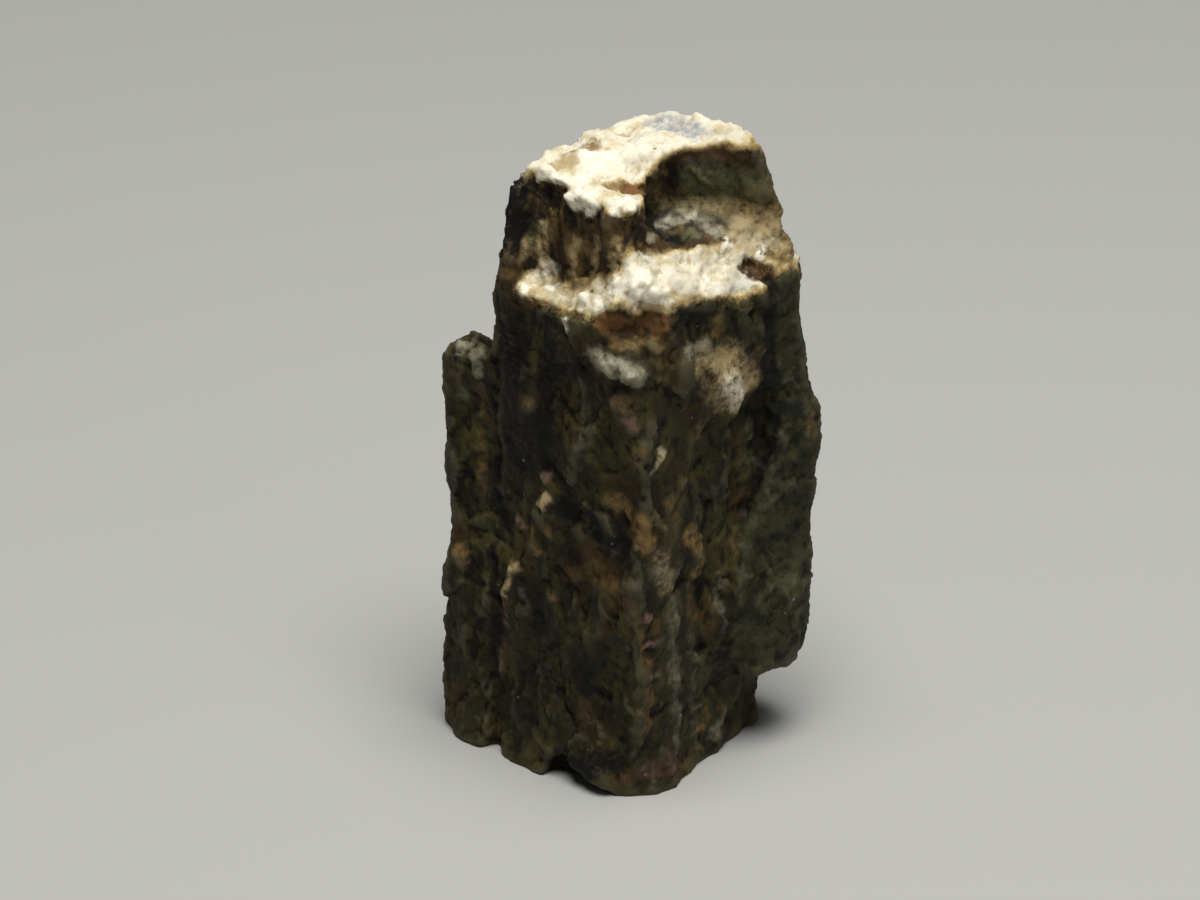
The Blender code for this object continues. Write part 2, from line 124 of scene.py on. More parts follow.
GRAPHITE_AND_SHADE = patches(
    # broad bands on the left face
    ((-8.0, 1.0, 37.0), (-8.2, 0.9, 26.0), 1.6, 0.8, -0.2),
    ((-8.0, 4.2, 35.5), (-8.0, 3.6, 25.0), 1.9, 0.8),
    ((-8.7, 1.6, 8.0), (-8.7, -3.6, 7.6), 2.8, 0.6),
    ((-8.1, 4.6, 36.6), 1.4, 0.7),
    # hollow under the left face's plate, and a crack below it
    ((-8.4, -0.8, 22.4), (-8.2, -3.2, 22.0), 1.4, 0.85, -0.2),
    ((-7.8, -3.8, 21.2), (-7.8, -6.8, 21.2), 1.0, 0.95, -0.25),
    ((-8.6, 1.6, 13.0), (-8.6, 1.8, 4.0), 0.5, 0.55, -0.15),
    # chip out of the foot
    ((-10.1, -3.2, 1.9), (-9.3, -6.1, 2.9), 1.4, 1.0),
    ((-8.6, -0.4, 1.4), (-8.0, -4.4, 0.8), 1.5, 0.95),
    # roof of the niche
    ((-7.5, -4.4, 39.5), (-6.9, -6.1, 39.5), 0.6, 0.9, -0.35),
    # groove beside the thinner crystal
    ((-7.8, 6.2, 32.8), (-8.4, 6.0, 12.5), 0.6, 0.8, -0.3),
    ((-8.4, 6.0, 12.5), (-8.2, 6.3, 1.0), 0.6, 0.8, -0.3),
    # right face, and crack along the crust's edge
    ((-4.0, -8.6, 38.7), (-1.3, -8.8, 38.0), 1.0, 0.75, -0.2),
    ((-1.9, -7.6, 23.2), 1.5, 0.6),
    ((0.1, -8.8, 8.8), (2.5, -8.8, 7.6), 1.0, 0.7),
    ((4.9, -10.0, 39.0), (5.2, -9.9, 36.0), 0.8, 0.85, -0.2),
    ((5.2, -9.9, 36.0), (5.7, -9.7, 24.7), 1.0, 0.85, -0.2),
    ((5.5, -9.5, 24.7), (3.4, -8.7, 19.7), 0.7, 0.65, -0.15),
    # bite: its back, and the pit in its floor
    ((4.2, -5.9, 47.3), (1.3, -2.9, 46.9), 1.3, 0.55),
    ((-0.2, -3.7, 43.0), (0.7, -4.8, 42.7), 0.8, 1.0, -0.45),
    # cliff
    ((-6.2, 5.2, 46.6), (-7.1, 4.6, 42.6), 1.4, 1.0),
    ((-6.1, -1.4, 46.0), (-6.1, -1.6, 43.6), 0.6, 0.6),
    ((-6.0, 0.5, 45.6), (-6.0, 0.3, 43.6), 0.6, 0.65),
    ((-4.1, -4.6, 46.2), (-4.6, -4.8, 43.8), 0.6, 0.8, -0.2),
)

CHLORITE = patches(
    # bite
    ((2.8, -3.9, 44.4), (4.8, -6.2, 44.4), 1.5, 0.9),
    ((3.2, -4.6, 46.6), (5.8, -8.0, 46.2), 1.8, 0.65),
    ((0.4, -2.6, 46.0), (0.2, -2.6, 44.2), 1.0, 0.5),
    ((1.6, -5.2, 42.8), 0.9, 0.8),
    # cliff's left end
    ((-6.0, 3.6, 43.4), (-6.5, 3.8, 41.8), 0.7, 0.6),
    # right face, crust and thinner crystal
    ((4.3, -7.9, 26.5), (4.1, -7.9, 23.0), 1.2, 0.4),
    ((-1.1, -8.3, 24.5), (-0.7, -8.4, 21.5), 1.0, 0.45),
    ((6.1, -11.1, 13.0), 2.4, 0.3),
    ((-8.4, 8.9, 12.9), 0.9, 0.35),
)

HEMATITE = patches(
    # niche
    ((-8.1, -4.2, 38.8), (-7.4, -5.1, 38.9), 1.0, 0.95),
    ((-6.8, -6.4, 38.7), (-5.7, -7.4, 38.7), 1.1, 1.1),
    # seam of the cap
    ((-3.5, -0.8, 47.3), (-2.6, -2.3, 47.3), 0.5, 0.55, -0.25),
    ((-2.6, -2.3, 47.3), (-1.5, -3.2, 47.0), 0.6, 1.2, -0.45),
    ((-1.0, -2.6, 46.8), (0.1, -3.0, 45.5), 0.6, 0.55),
    # rusty hole
    ((4.1, -8.9, 40.4), (4.7, -9.7, 39.8), 0.6, 0.45),
    # spots on the faces, and thread down the front edge
    ((-8.7, 2.0, 19.8), 0.7, 0.6),
    ((-8.6, 0.6, 20.4), 0.6, 0.5),
    ((-7.6, 2.6, 38.2), 0.8, 0.55),
    ((-2.3, -9.0, 34.2), 0.6, 0.5),
    ((-8.8, -7.6, 16.9), (-8.3, -8.1, 14.0), 0.5, 0.4),
    ((-8.3, -8.1, 14.0), (-7.1, -8.2, 10.5), 0.5, 0.45),
    ((-7.1, -8.2, 10.5), (-7.5, -8.1, 5.5), 0.6, 0.45),
)

LIMONITE_AND_HIGHLIGHT = patches(
    # cap
    ((-2.5, 3.2, 48.5), (-0.5, 2.5, 48.8), 0.9, 0.62, -0.1),
    ((-0.7, -1.4, 47.7), (0.7, -1.9, 48.3), 0.8, 0.3),
    ((5.9, -4.9, 49.5), 0.9, 0.2),
    # cliff
    ((-5.3, 1.2, 46.5), (-5.6, 0.6, 43.5), 0.6, 0.45),
    ((-5.4, -3.6, 45.8), (-5.5, -3.8, 43.6), 0.7, 0.6),
    ((-5.9, -1.0, 43.0), 0.6, 0.5),
    # shoulder, ramp, and band under the niche
    ((-6.3, 2.7, 41.4), (-6.7, 2.7, 39.9), 0.7, 0.7),
    ((-6.2, -0.9, 41.2), (-6.9, -1.0, 40.0), 0.6, 0.5),
    ((-7.8, 5.0, 40.2), 0.9, 0.6),
    ((-3.9, -7.2, 41.2), (-2.3, -7.6, 41.8), 0.6, 0.35),
    ((-5.9, -6.8, 40.0), (-5.6, -7.2, 39.0), 0.6, 0.6),
    ((4.7, -6.2, 43.9), (5.6, -7.4, 43.4), 1.0, 0.5),
    ((-7.6, -5.0, 37.4), (-5.8, -7.3, 37.3), 0.7, 0.5),
    # left face, front edge and thinner crystal
    ((-8.6, 2.6, 30.6), 1.0, 0.35),
    ((-8.0, -6.1, 32.7), 1.0, 0.4),
    ((-7.9, -7.7, 29.4), (-7.9, -7.5, 28.6), 0.7, 0.4),
    ((-7.7, -5.2, 24.3), (-7.8, -6.3, 23.8), 0.9, 0.55),
    # painted highlight in ochre along the front edge
    ((-7.9, -8.0, 23.6), (-7.6, -8.3, 21.4), 0.8, 1.1, 0.12),
    ((-7.8, -3.4, 18.6), (-8.3, -6.2, 17.0), 1.5, 0.28),
    ((-8.7, 1.5, 18.5), 0.7, 0.55, 0.15),
    ((-8.6, 4.0, 16.1), 0.9, 0.6, 0.3),
    ((-8.8, -0.1, 14.8), 0.6, 0.55),
    ((-8.6, 2.2, 1.1), 0.9, 0.4),
    ((-8.5, -3.2, 6.1), 1.4, 0.3),
    ((-8.0, 7.7, 30.2), (-7.9, 7.5, 20.5), 0.6, 0.35),
    ((-8.2, 9.4, 15.7), 0.9, 0.75),
    # right face
    ((-0.1, -8.9, 38.2), (-0.1, -8.9, 36.4), 0.8, 0.6),
    ((0.3, -9.1, 33.6), 1.6, 0.4),
    ((-1.5, -8.4, 28.6), 1.6, 0.4),
    ((-2.8, -8.5, 20.4), (-1.8, -8.5, 19.2), 1.1, 0.55),
    ((-1.3, -8.5, 18.0), (-1.6, -8.5, 16.8), 1.0, 0.6),
    ((-5.6, -8.1, 24.6), (-4.4, -8.4, 22.4), 1.2, 0.3),
    ((2.8, -8.7, 18.6), (2.3, -8.7, 17.2), 0.7, 0.3),
    ((-2.2, -8.3, 15.6), (-2.2, -8.3, 13.5), 1.2, 0.35),
    ((-0.9, -8.3, 3.6), 1.4, 0.35),
    # crust and back faces
    ((8.5, -11.3, 27.0), (8.5, -11.3, 25.0), 0.9, 0.35),
    ((9.1, -2.0, 26.0), (9.0, -1.0, 21.0), 1.4, 0.4),
    ((2.7, 8.6, 34.0), (1.7, 8.6, 29.0), 1.5, 0.4),
    ((9.0, 2.5, 42.0), (8.9, 2.0, 38.5), 1.2, 0.45),
)

ANDALUSITE = patches(
    # left face
    ((-8.1, 1.1, 24.5), 0.8, 0.6, 0.25),
    ((-8.4, 0.8, 22.6), 0.75, 0.65, 0.3),
    ((-7.8, 3.9, 19.7), 0.8, 0.7, 0.3),
    ((-7.9, -6.6, 31.3), 0.8, 0.5),
    ((-8.3, -6.6, 1.2), 1.0, 0.4),
    # front edge
    ((-7.4, -8.2, 15.2), 0.6, 0.7, 0.15),
    ((-7.3, -8.2, 12.9), 0.5, 0.6, 0.15),
    ((-7.2, -8.2, 9.9), 0.5, 0.65, 0.15),
    ((-7.4, -8.2, 2.0), (-5.9, -8.3, 1.6), 1.0, 0.35),
    # groove and thinner crystal
    ((-8.9, 4.7, 13.6), (-8.2, 5.4, 6.9), 0.4, 0.5),
    ((-8.3, 9.6, 9.3), 0.6, 0.55),
    ((-8.3, 9.1, 14.8), 0.6, 0.55),
    ((-8.2, 10.5, 1.3), 0.5, 0.45),
    # right face and shoulder
    ((0.4, -8.9, 29.7), 0.7, 0.5),
    ((2.6, -8.5, 40.3), 0.8, 0.35),
)

HAZE = patches(
    # cap, and the shoulder's rim over the right face
    ((5.4, 0.6, 49.2), (4.8, -3.0, 49.5), 1.6, 0.62),
    ((1.7, -1.5, 48.7), 1.1, 0.35),
    ((-0.3, -8.9, 40.4), (2.9, -8.9, 39.9), 0.8, 0.4),
)

SERICITE_AND_HIGHLIGHTS = patches(
    # the sill, paler as a painted highlight along with its silver mica
    ((-8.0, -3.6, 35.8), (-7.7, -7.4, 35.2), 1.1, 0.95, 0.35),
    # ribs of fine mica on the faces
    ((-7.9, -2.5, 31.5), (-7.9, -2.8, 27.5), 0.8, 0.25),
    ((-3.5, -8.7, 36.2), (-1.5, -8.9, 35.8), 0.8, 0.55, 0.12),
    ((-6.6, -8.3, 27.6), (-5.9, -8.3, 28.5), 0.6, 0.8, 0.15),
    ((-6.2, -8.3, 18.8), (-4.7, -8.3, 17.4), 1.2, 0.5),
    ((-4.5, -8.1, 15.1), (-4.1, -8.3, 2.8), 0.9, 0.35),
    ((-2.1, -8.2, 12.0), (-1.9, -8.3, 3.0), 0.8, 0.25),
    ((-6.2, -8.3, 9.9), 0.6, 0.4),
    ((1.2, -8.2, 14.9), (0.9, -8.3, 12.5), 1.0, 0.35),
    ((0.2, -8.4, 1.8), (1.9, -8.4, 3.0), 0.8, 0.5),
    ((-8.6, -1.6, 3.6), (-8.6, -3.4, 3.0), 0.6, 0.5),
    ((-7.5, 1.1, 38.5), 0.5, 0.7, 0.1),
    # head of the thinner crystal
    ((-7.4, 9.6, 32.9), 0.8, 1.0, 0.15),
    ((-7.8, 8.1, 32.4), (-7.8, 8.0, 31.0), 0.7, 0.8, 0.1),
    ((-7.7, 9.4, 28.8), 0.8, 0.4),
    # cap and cliff
    ((5.6, -4.4, 49.4), (5.6, -6.4, 49.0), 1.2, 0.3),
    ((-2.7, 3.6, 48.3), 0.8, 0.45),
    ((-4.3, -5.6, 45.6), (-4.6, -5.6, 43.2), 0.6, 0.3),
    # pale crescent round the pit in the bite, painted brighter as a highlight against the bite's
    # shade
    ((1.2, -2.9, 43.3), (2.2, -3.6, 43.7), 0.7, 0.85, 0.15),
    ((2.2, -3.6, 43.7), (2.9, -4.6, 43.6), 0.7, 0.9, 0.15),
    ((2.9, -4.6, 43.6), (3.1, -6.4, 42.8), 0.7, 0.9, 0.1),
    # cliff's foot beside the bite, and ramp
    ((-2.6, -3.8, 44.0), (-1.4, -3.5, 43.2), 1.0, 0.6),
    ((4.6, -7.2, 43.0), (5.6, -8.8, 41.8), 1.2, 0.6),
)

BEIGE_AND_HIGHLIGHTS = patches(
    # streaks from the cliff's foot onto the shoulder
    ((-6.3, 2.7, 40.6), (-5.8, 3.0, 43.6), 0.8, 0.65),
    ((-6.2, 0.2, 41.0), (-5.9, -0.2, 43.4), 0.7, 0.65),
    ((-6.2, -1.7, 41.4), (-6.1, -1.9, 43.8), 0.6, 0.6),
    ((-6.0, -3.7, 42.4), (-6.0, -3.6, 44.4), 0.7, 0.65),
    ((-6.9, 4.6, 41.0), (-6.4, 4.2, 42.4), 0.7, 0.5),
    # ramp
    ((4.0, -7.4, 42.4), (6.8, -9.6, 42.2), 1.3, 0.6),
    ((5.4, -7.2, 43.8), (6.8, -9.2, 43.2), 1.1, 0.7),
    ((5.0, -9.2, 41.2), (6.8, -10.0, 41.2), 0.9, 0.6),
    # bite, above its crescent
    ((1.2, -2.4, 44.8), (4.3, -5.8, 44.4), 1.0, 0.45),
    # shoulder's rim, brightest at its front corner as a painted highlight
    ((-6.4, -5.8, 40.8), (-5.0, -7.6, 40.6), 1.2, 1.3),
    ((-3.8, -8.4, 40.4), (-1.0, -8.9, 40.4), 0.6, 0.55),
    # bulge on the right face, paler as a painted highlight where it turns up to the light
    ((-2.0, -8.9, 34.6), (0.6, -9.2, 33.4), 1.6, 0.65, 0.1),
    ((0.4, -9.3, 33.6), (3.0, -9.1, 30.6), 2.1, 0.8, 0.1),
    ((-1.2, -9.1, 32.6), (0.6, -9.2, 30.4), 1.4, 0.4),
    # grains on the faces, some in a ring of another mineral
    ((-8.6, 4.0, 16.1), 0.7, 0.85),
    ((-8.7, 4.3, 15.4), (-8.9, 4.7, 13.8), 0.6, 0.7, 0.1),
    ((-8.4, 0.8, 22.6), 0.7, 0.7),
    ((-6.9, -7.9, 27.2), (-6.2, -8.0, 28.2), 0.6, 0.75, 0.15),
    ((-6.2, -8.2, 20.0), (-5.0, -8.3, 16.8), 1.3, 0.4),
    # cap
    ((-4.1, 3.0, 48.3), (-3.3, 2.6, 48.5), 0.8, 0.95, -0.15),
    ((-5.2, 1.0, 47.3), (-4.3, -1.2, 47.4), 0.5, 0.5),
)

# Milky quartz grains, and painted highlights: glints, the shoulder's front corner, and the
# crescent, sill and bulge.
QUARTZ_AND_HIGHLIGHTS = patches(
    # ramp and the shoulder's right end
    ((3.6, -7.6, 42.2), (6.4, -9.3, 41.9), 0.9, 0.3),
    # painted glints: bright spots under the large mica scales
    ((3.1, -7.3, 42.1), 0.55, 1.3, 0.15),
    ((5.3, -9.0, 41.0), 0.6, 1.3, 0.15),
    # knobs of the cap that hang over the cliff
    ((-5.8, 0.4, 46.9), (-5.9, -1.5, 47.0), 0.9, 1.2, 0.6),
    ((-5.2, -3.5, 46.9), (-4.0, -3.9, 46.9), 0.8, 1.1, 0.25),
    # whitest parts of the cap
    ((-5.3, 3.6, 47.7), (-4.6, 1.0, 47.9), 0.7, 0.8),
    ((-4.6, 0.6, 47.9), (-2.4, 0.7, 48.1), 1.0, 0.8),
    ((-2.0, 1.4, 48.2), (1.2, -0.4, 48.6), 1.5, 0.7),
    # knots along the shoulder's rim
    ((-7.0, 1.5, 39.4), 0.7, 0.8, 0.3),
    ((-7.4, 3.4, 39.3), 0.6, 0.7, 0.2),
    ((-7.2, -1.6, 39.7), 0.8, 0.9, 0.35),
    ((-7.4, -3.3, 40.0), 0.7, 0.9, 0.3),
    ((-8.1, -0.8, 37.8), 0.6, 0.8, 0.2),
    ((-1.1, -8.9, 40.9), (1.9, -8.6, 41.0), 1.2, 0.6),
    # painted highlight, with a swell, at the shoulder's front corner
    ((-6.3, -6.2, 41.1), (-5.4, -7.0, 41.2), 0.9, 1.2, 0.5),
    # shoulder, with a painted highlight at its front corner
    ((-6.6, -4.6, 41.2), (-6.2, -6.2, 41.5), 1.1, 1.1),
    ((-5.8, -6.9, 41.0), (-4.8, -7.4, 41.0), 0.9, 1.0),
    ((-5.9, -5.8, 42.0), 1.2, 0.85, 0.2),
    ((-6.5, 3.2, 39.9), (-6.2, 2.2, 40.8), 0.8, 0.5),
    # middles of the crescent, the sill and the bulge, painted brighter as highlights
    ((1.2, -2.9, 43.3), (2.9, -4.6, 43.6), 0.6, 0.3),
    ((-8.0, -4.4, 35.8), (-7.8, -6.4, 35.4), 0.5, 0.4),
    ((0.9, -9.4, 32.2), (2.3, -9.2, 30.4), 1.4, 0.5, 0.15),
)

# In the order in which they are laid on: each covers the ones before it.
MINERALS = {
    "umber": UMBER_AND_SHADE,
    "graphite": GRAPHITE_AND_SHADE,
    "chlorite": CHLORITE,
    "hematite": HEMATITE,
    "limonite": LIMONITE_AND_HIGHLIGHT,
    "andalusite": ANDALUSITE,
    "haze": HAZE,
    "sericite": SERICITE_AND_HIGHLIGHTS,
    "beige": BEIGE_AND_HIGHLIGHTS,
    "quartz": QUARTZ_AND_HIGHLIGHTS,
}

# Where the break is browned, so that its colour falls from cream through tan to brown: dirt,
# and painted shade in the bite and on the outer sides that turn from the light.
SOILED_AND_SHADED = patches(
    # bite and ramp
    ((-2.4, -4.4, 43.2), (3.4, -6.0, 43.0), 1.9, 1.0),
    ((0.6, -2.6, 43.4), (3.0, -4.6, 44.2), 1.8, 1.0),
    ((-1.0, -3.6, 43.2), 1.7, 1.0),
    ((4.4, -7.4, 43.0), (5.8, -9.2, 41.6), 1.3, 0.35),
    # shoulder, most under the cliff
    ((-6.4, 4.4, 41.0), (-6.2, -1.0, 41.2), 1.3, 0.65),
    ((-6.9, 5.0, 40.0), (-6.9, -1.0, 40.2), 1.8, 0.38),
    ((-1.6, -7.6, 41.6), (3.4, -8.6, 40.6), 1.6, 0.2),
    # seams of the cap
    ((-3.6, -0.6, 47.4), (-1.6, -3.1, 47.2), 0.8, 0.7),
    ((-4.2, 1.4, 47.6), (-3.4, 0.2, 47.5), 0.5, 0.35),
    # cap's rim over the bite, and its right end
    ((1.9, -3.4, 48.4), (4.6, -6.4, 48.9), 1.0, 0.6),
    ((5.8, -7.4, 49.2), (6.4, -9.0, 48.6), 1.4, 0.5),
    # outer sides of the shoulder's right end and of the ramp
    ((5.4, -9.4, 40.4), (7.2, -10.2, 41.4), 1.4, 0.45),
    ((6.0, -8.2, 43.8), (7.4, -9.8, 42.8), 1.5, 0.45),
)

# Large scales of mica that flash on the shoulder and its rim, in mm.
GLINTS = (
    (5.2, -9.0, 41.2),
    (5.5, -9.1, 41.0),
    (3.1, -7.2, 42.3),
    (-6.9, -2.3, 40.5),
    (-7.5, 1.1, 38.5),
    (-6.3, -6.3, 40.6),
)


# ---------------------------------------------------------------- settings


def swatch(name, description, hex_colour):
    """A colour that the sidebar shows as a swatch."""
    return FloatVectorProperty(
        name=name, description=description, default=linear(hex_colour),
        subtype="COLOR", size=3, min=0.0, max=1.0,
    )


def length(name, description, millimetres):
    """A small length, shown in the scene's own unit."""
    return FloatProperty(
        name=name, description=description, default=millimetres * MM,
        min=0.0, unit="LENGTH", precision=5,
    )


class StoneSettings(PropertyGroup):
    """Relief and colours of the stone."""

    grid: length("Grid", "Width of the surface mesh's faces", 0.23)
    facet: length("Facet", "Height of the broad tilted facets", 0.34)
    chip: length("Chip", "Height of the small tilted chips", 0.12)
    flake: length("Flake", "Height of the thin flakes split off the prism faces", 0.10)
    striation: length("Striation", "Depth of the fine upright lines on the faces", 0.03)
    pit: length("Pit", "Depth of the small pits", 0.20)
    lump: length("Lump", "Height of the soft lumps on the crust", 0.22)
    crumb: length("Crumb", "Height of the crumbly steps on the broken top", 0.11)
    flute: length("Flute", "Depth of the upright flutes on the broken cliff", 0.20)
    grit: length("Grit", "Height of the finest roughness", 0.05)
    # The skin colours are set darker than the stone's own, as painted shade for the faces turned
    # from the overhead light.
    skin_dark: swatch("Skin, dark", "Graphite-dusted prism face", "#1c1a0c")
    skin_olive: swatch("Skin, olive", "Weathered mica schist on the prism face", "#403b1b")
    skin_brown: swatch("Skin, brown", "Iron-stained patches on the prism face", "#46300f")
    crust: swatch("Crust", "Schist crust that clings to the prism", "#36361f")
    crust_dark: swatch("Crust, dark", "Hollows of the schist crust", "#1a190f")
    cliff: swatch("Cliff", "Upright break, stained umber", "#5f4a24")
    cliff_dark: swatch("Cliff, dark", "Upright break between its flutes", "#20180b")
    # The break's colours run from tan to cream as it faces up: painted light from above, laid on
    # the break's own paler colour.
    fresh: swatch("Fresh break", "Clean cream andalusite", "#dad3bc")
    fresh_beige: swatch("Fresh break, beige", "Cloudy beige andalusite", "#bfae82")
    fresh_tan: swatch("Fresh break, tan", "Dirty rim of the break", "#8d7547")
    fresh_grey: swatch("Fresh break, grey", "Andalusite clouded by graphite", "#bcbbb0")
    fresh_stain: swatch("Fresh break, stain", "Iron stain in its cracks", "#84602f")
    # Of the mineral colours below, graphite and umber also give the painted shade in hollows, the
    # niche and the bite, and limonite, sericite, beige and quartz the painted highlights on the
    # front edge, sill, crescent, bulge, shoulder corner and glints.
    umber: swatch("Umber", "Dark brown iron earth", "#38270f")
    graphite: swatch("Graphite", "Carbon dust in hollows", "#0f0d08")
    chlorite: swatch("Chlorite", "Grey-green mica", "#57573a")
    hematite: swatch("Hematite", "Red-brown iron stain", "#71502e")
    limonite: swatch("Limonite", "Ochre iron stain", "#80663c")
    andalusite: swatch("Andalusite", "Rose-grey grains", "#806256")
    haze: swatch("Haze", "Grey cloud of graphite in the andalusite", "#959799")
    sericite: swatch("Sericite", "Silver-grey fine mica", "#858069")
    beige: swatch("Beige", "Cloudy beige grains and streaks", "#a8946a")
    quartz: swatch("Quartz", "Milky cream grains", "#eee6cf")


class MicaSettings(PropertyGroup):
    """Loose scales of mica bedded in the stone."""

    count: IntProperty(name="Count", description="Number of scattered scales", default=40, min=0)
    width: length("Width", "Width of a usual scale", 0.30)
    glint_width: length("Glint width", "Width of the large scales on the shoulder", 0.50)
    thickness: length("Thickness", "Thickness of a scale", 0.05)
    tilt: FloatProperty(
        name="Tilt", description="How far a scale may lean from the face that it lies in",
        default=math.radians(22), min=0.0, subtype="ANGLE",
    )
    silver: swatch("Silver", "Clean muscovite", "#625f50")
    bronze: swatch("Bronze", "Muscovite tinted by iron", "#5d4a2a")


class StageSettings(PropertyGroup):
    """Floor, light and camera."""

    floor: swatch("Floor", "Matt pale board", "#aaa9a4")
    sky: swatch("Sky", "Even light from the whole room", "#eceae6")
    sky_strength: FloatProperty(
        name="Sky strength", description="Brightness of the even light", default=0.06, min=0.0,
    )
    key_power: FloatProperty(
        name="Key power", description="Power of the softbox overhead", default=4.6, min=0.0,
        unit="POWER",
    )
    fill_power: FloatProperty(
        name="Fill power", description="Power of the weak light beside the camera", default=0.20,
        min=0.0, unit="POWER",
    )
    softbox_width: length("Softbox width", "Width of each of the two softboxes", 360)
    azimuth: FloatProperty(
        name="Azimuth", description="Camera's way round from the front, towards +X",
        default=math.radians(-52.34), subtype="ANGLE",
    )
    elevation: FloatProperty(
        name="Elevation", description="Camera's height above the horizon",
        default=math.radians(26.5), subtype="ANGLE",
    )
    distance: length("Distance", "From the camera to the stone", 400)
    focal_length: FloatProperty(
        name="Focal length", description="In millimetres, on a 36 mm sensor", default=158.4,
        min=1.0, unit="CAMERA",
    )


# ---------------------------------------------------------------- surface


class Pattern(NamedTuple):
    """The size of a pattern's lumps in mm, one number or one for each axis, and its seed.

    The seed only picks one of many patterns of the same kind.
    """

    size: float | tuple
    seed: float


# Relief of the faces and the crust.
FACETS = Pattern((3.0, 3.0, 4.2), 53.0)
CHIPS = Pattern((1.3, 1.3, 1.8), 71.0)
FLAKES = Pattern((2.8, 2.8, 4.2), 7.0)
STRIATIONS = Pattern((0.5, 0.5, 6.0), 5.0)
PITS = Pattern(1.3, 13.0)
GRIT = Pattern(0.8, 11.0)
SOFT_LUMPS = Pattern(1.9, 17.0)
# Relief of the broken top and the cliff.
CRUMBS = Pattern(1.8, 23.0)
KNOTS = Pattern(1.5, 59.0)
FLUTES = Pattern((1.2, 1.2, 3.4), 31.0)
SPLITS = Pattern((1.8, 1.8, 3.2), 37.0)
# Borders between kinds of surface, and outlines of marks.
RAGGED = Pattern(1.4, 3.1)
FINE_RAGGED = Pattern(0.6, 9.7)
TONGUES = Pattern((3.2, 3.2, 7.0), 29.0)
PUSHES = [Pattern(1.1, seed) for seed in (41.0, 43.0, 47.0)]
FINE_PUSHES = [Pattern(0.45, seed) for seed in (73.0, 79.0, 83.0)]

# Rough noise: how fast its octaves fade, how much finer each is, and how many there are.
OCTAVES = (0.7, 2.0, 4)


def smoothstep(low, high, values):
    """0 at low, 1 at high, and a smooth change between them; high may be the lower number."""
    t = np.clip((values - low) / (high - low), 0.0, 1.0)
    return t * t * (3.0 - 2.0 * t)


def pattern_places(points, pattern):
    """The points measured in lumps of the pattern, from a start of its own."""
    return (points / pattern.size + pattern.seed).tolist()


def lumps(points, pattern):
    """Smooth noise from about -1 to 1."""
    return np.array([noise.noise(place) for place in pattern_places(points, pattern)])


def grains(points, pattern):
    """Rougher noise from about -1 to 1, whose largest lumps have the pattern's size."""
    return np.array([noise.fractal(place, *OCTAVES) for place in pattern_places(points, pattern)])


def facets(points, pattern):
    """Flat cells at random tilts, from about -1 to 1, as knocks and splits leave on stone."""
    cell_spread = 7.3  # sets neighbouring cells far apart, so that their tilts differ
    cell_step = 0.4  # how much higher or lower a tilted cell lies as a whole
    heights = []
    for place in pattern_places(points, pattern):
        centre = noise.voronoi(place)[1][0]
        tilt = noise.cell_vector(centre * cell_spread) * 2.0 - Vector((1.0, 1.0, 1.0))
        heights.append((Vector(place) - centre).dot(tilt) + cell_step * tilt.x)
    return np.array(heights)


def terraces(heights, step, riser=0.18):
    """Flat treads a step apart with short steep risers, as thin flakes leave when they split."""
    levels = heights / step
    whole = np.floor(levels)
    return step * (whole + smoothstep(0.5 - riser, 0.5 + riser, levels - whole))


def relax(values, edges, rounds):
    """Each vertex's values drawn towards the mean of its neighbours', round after round."""
    first, second = edges.T
    count = len(values)
    neighbours = np.bincount(edges.ravel(), minlength=count)
    for _ in range(rounds):
        sums = [
            np.bincount(first, column[second], count) + np.bincount(second, column[first], count)
            for column in values.T
        ]
        values = 0.5 * values + 0.5 * (np.array(sums) / neighbours).T
    return values


def unit(vectors):
    """The vectors at length 1."""
    return vectors / np.linalg.norm(vectors, axis=1, keepdims=True)


def read_vectors(mesh, name):
    """A vector of every vertex, such as co or normal."""
    flat = np.empty(len(mesh.vertices) * 3)
    mesh.vertices.foreach_get(name, flat)
    return flat.reshape(-1, 3)


def write_places(mesh, places):
    """Moves every vertex."""
    mesh.vertices.foreach_set("co", places.ravel())
    mesh.update()


def read_edges(mesh):
    """The two vertices of every edge."""
    flat = np.empty(len(mesh.edges) * 2, dtype=np.int32)
    mesh.edges.foreach_get("vertices", flat)
    return flat.reshape(-1, 2)


def add_object(name, data):
    """A new object in the scene."""
    added = bpy.data.objects.new(name, data)
    bpy.context.scene.collection.objects.link(added)
    return added


def even_copy(solid, spacing):
    """The solid's surface as a mesh of small faces of one size."""
    stone = add_object(STONE, solid.data.copy())
    stone.data.materials.clear()
    remesh = stone.modifiers.new("Even faces", "REMESH")
    remesh.mode = "VOXEL"
    remesh.voxel_size = spacing
    remesh.use_smooth_shade = True
    bpy.context.view_layer.update()
    evaluated = stone.evaluated_get(bpy.context.evaluated_depsgraph_get())
    even = bpy.data.meshes.new_from_object(evaluated)
    coarse = stone.data
    stone.modifiers.clear()
    stone.data = even
    bpy.data.meshes.remove(coarse)
    even.name = STONE
    if not even.vertices:
        raise RuntimeError("the remesh of the crystal's solid came out empty")
    return stone


class Zones(NamedTuple):
    """How much of each kind of surface a vertex has, from 0 to 1.

    The break is clean cream where fresh is 1 and ever browner below that. Fresh follows how much
    the break faces up, so its cream is painted light from above, laid on the break's own paler
    colour. The other zones share out what its clean half leaves. The foot stays as it is where
    foot is 0.
    """

    fresh: np.ndarray
    top: np.ndarray
    cliff: np.ndarray
    crust: np.ndarray
    skin: np.ndarray
    foot: np.ndarray


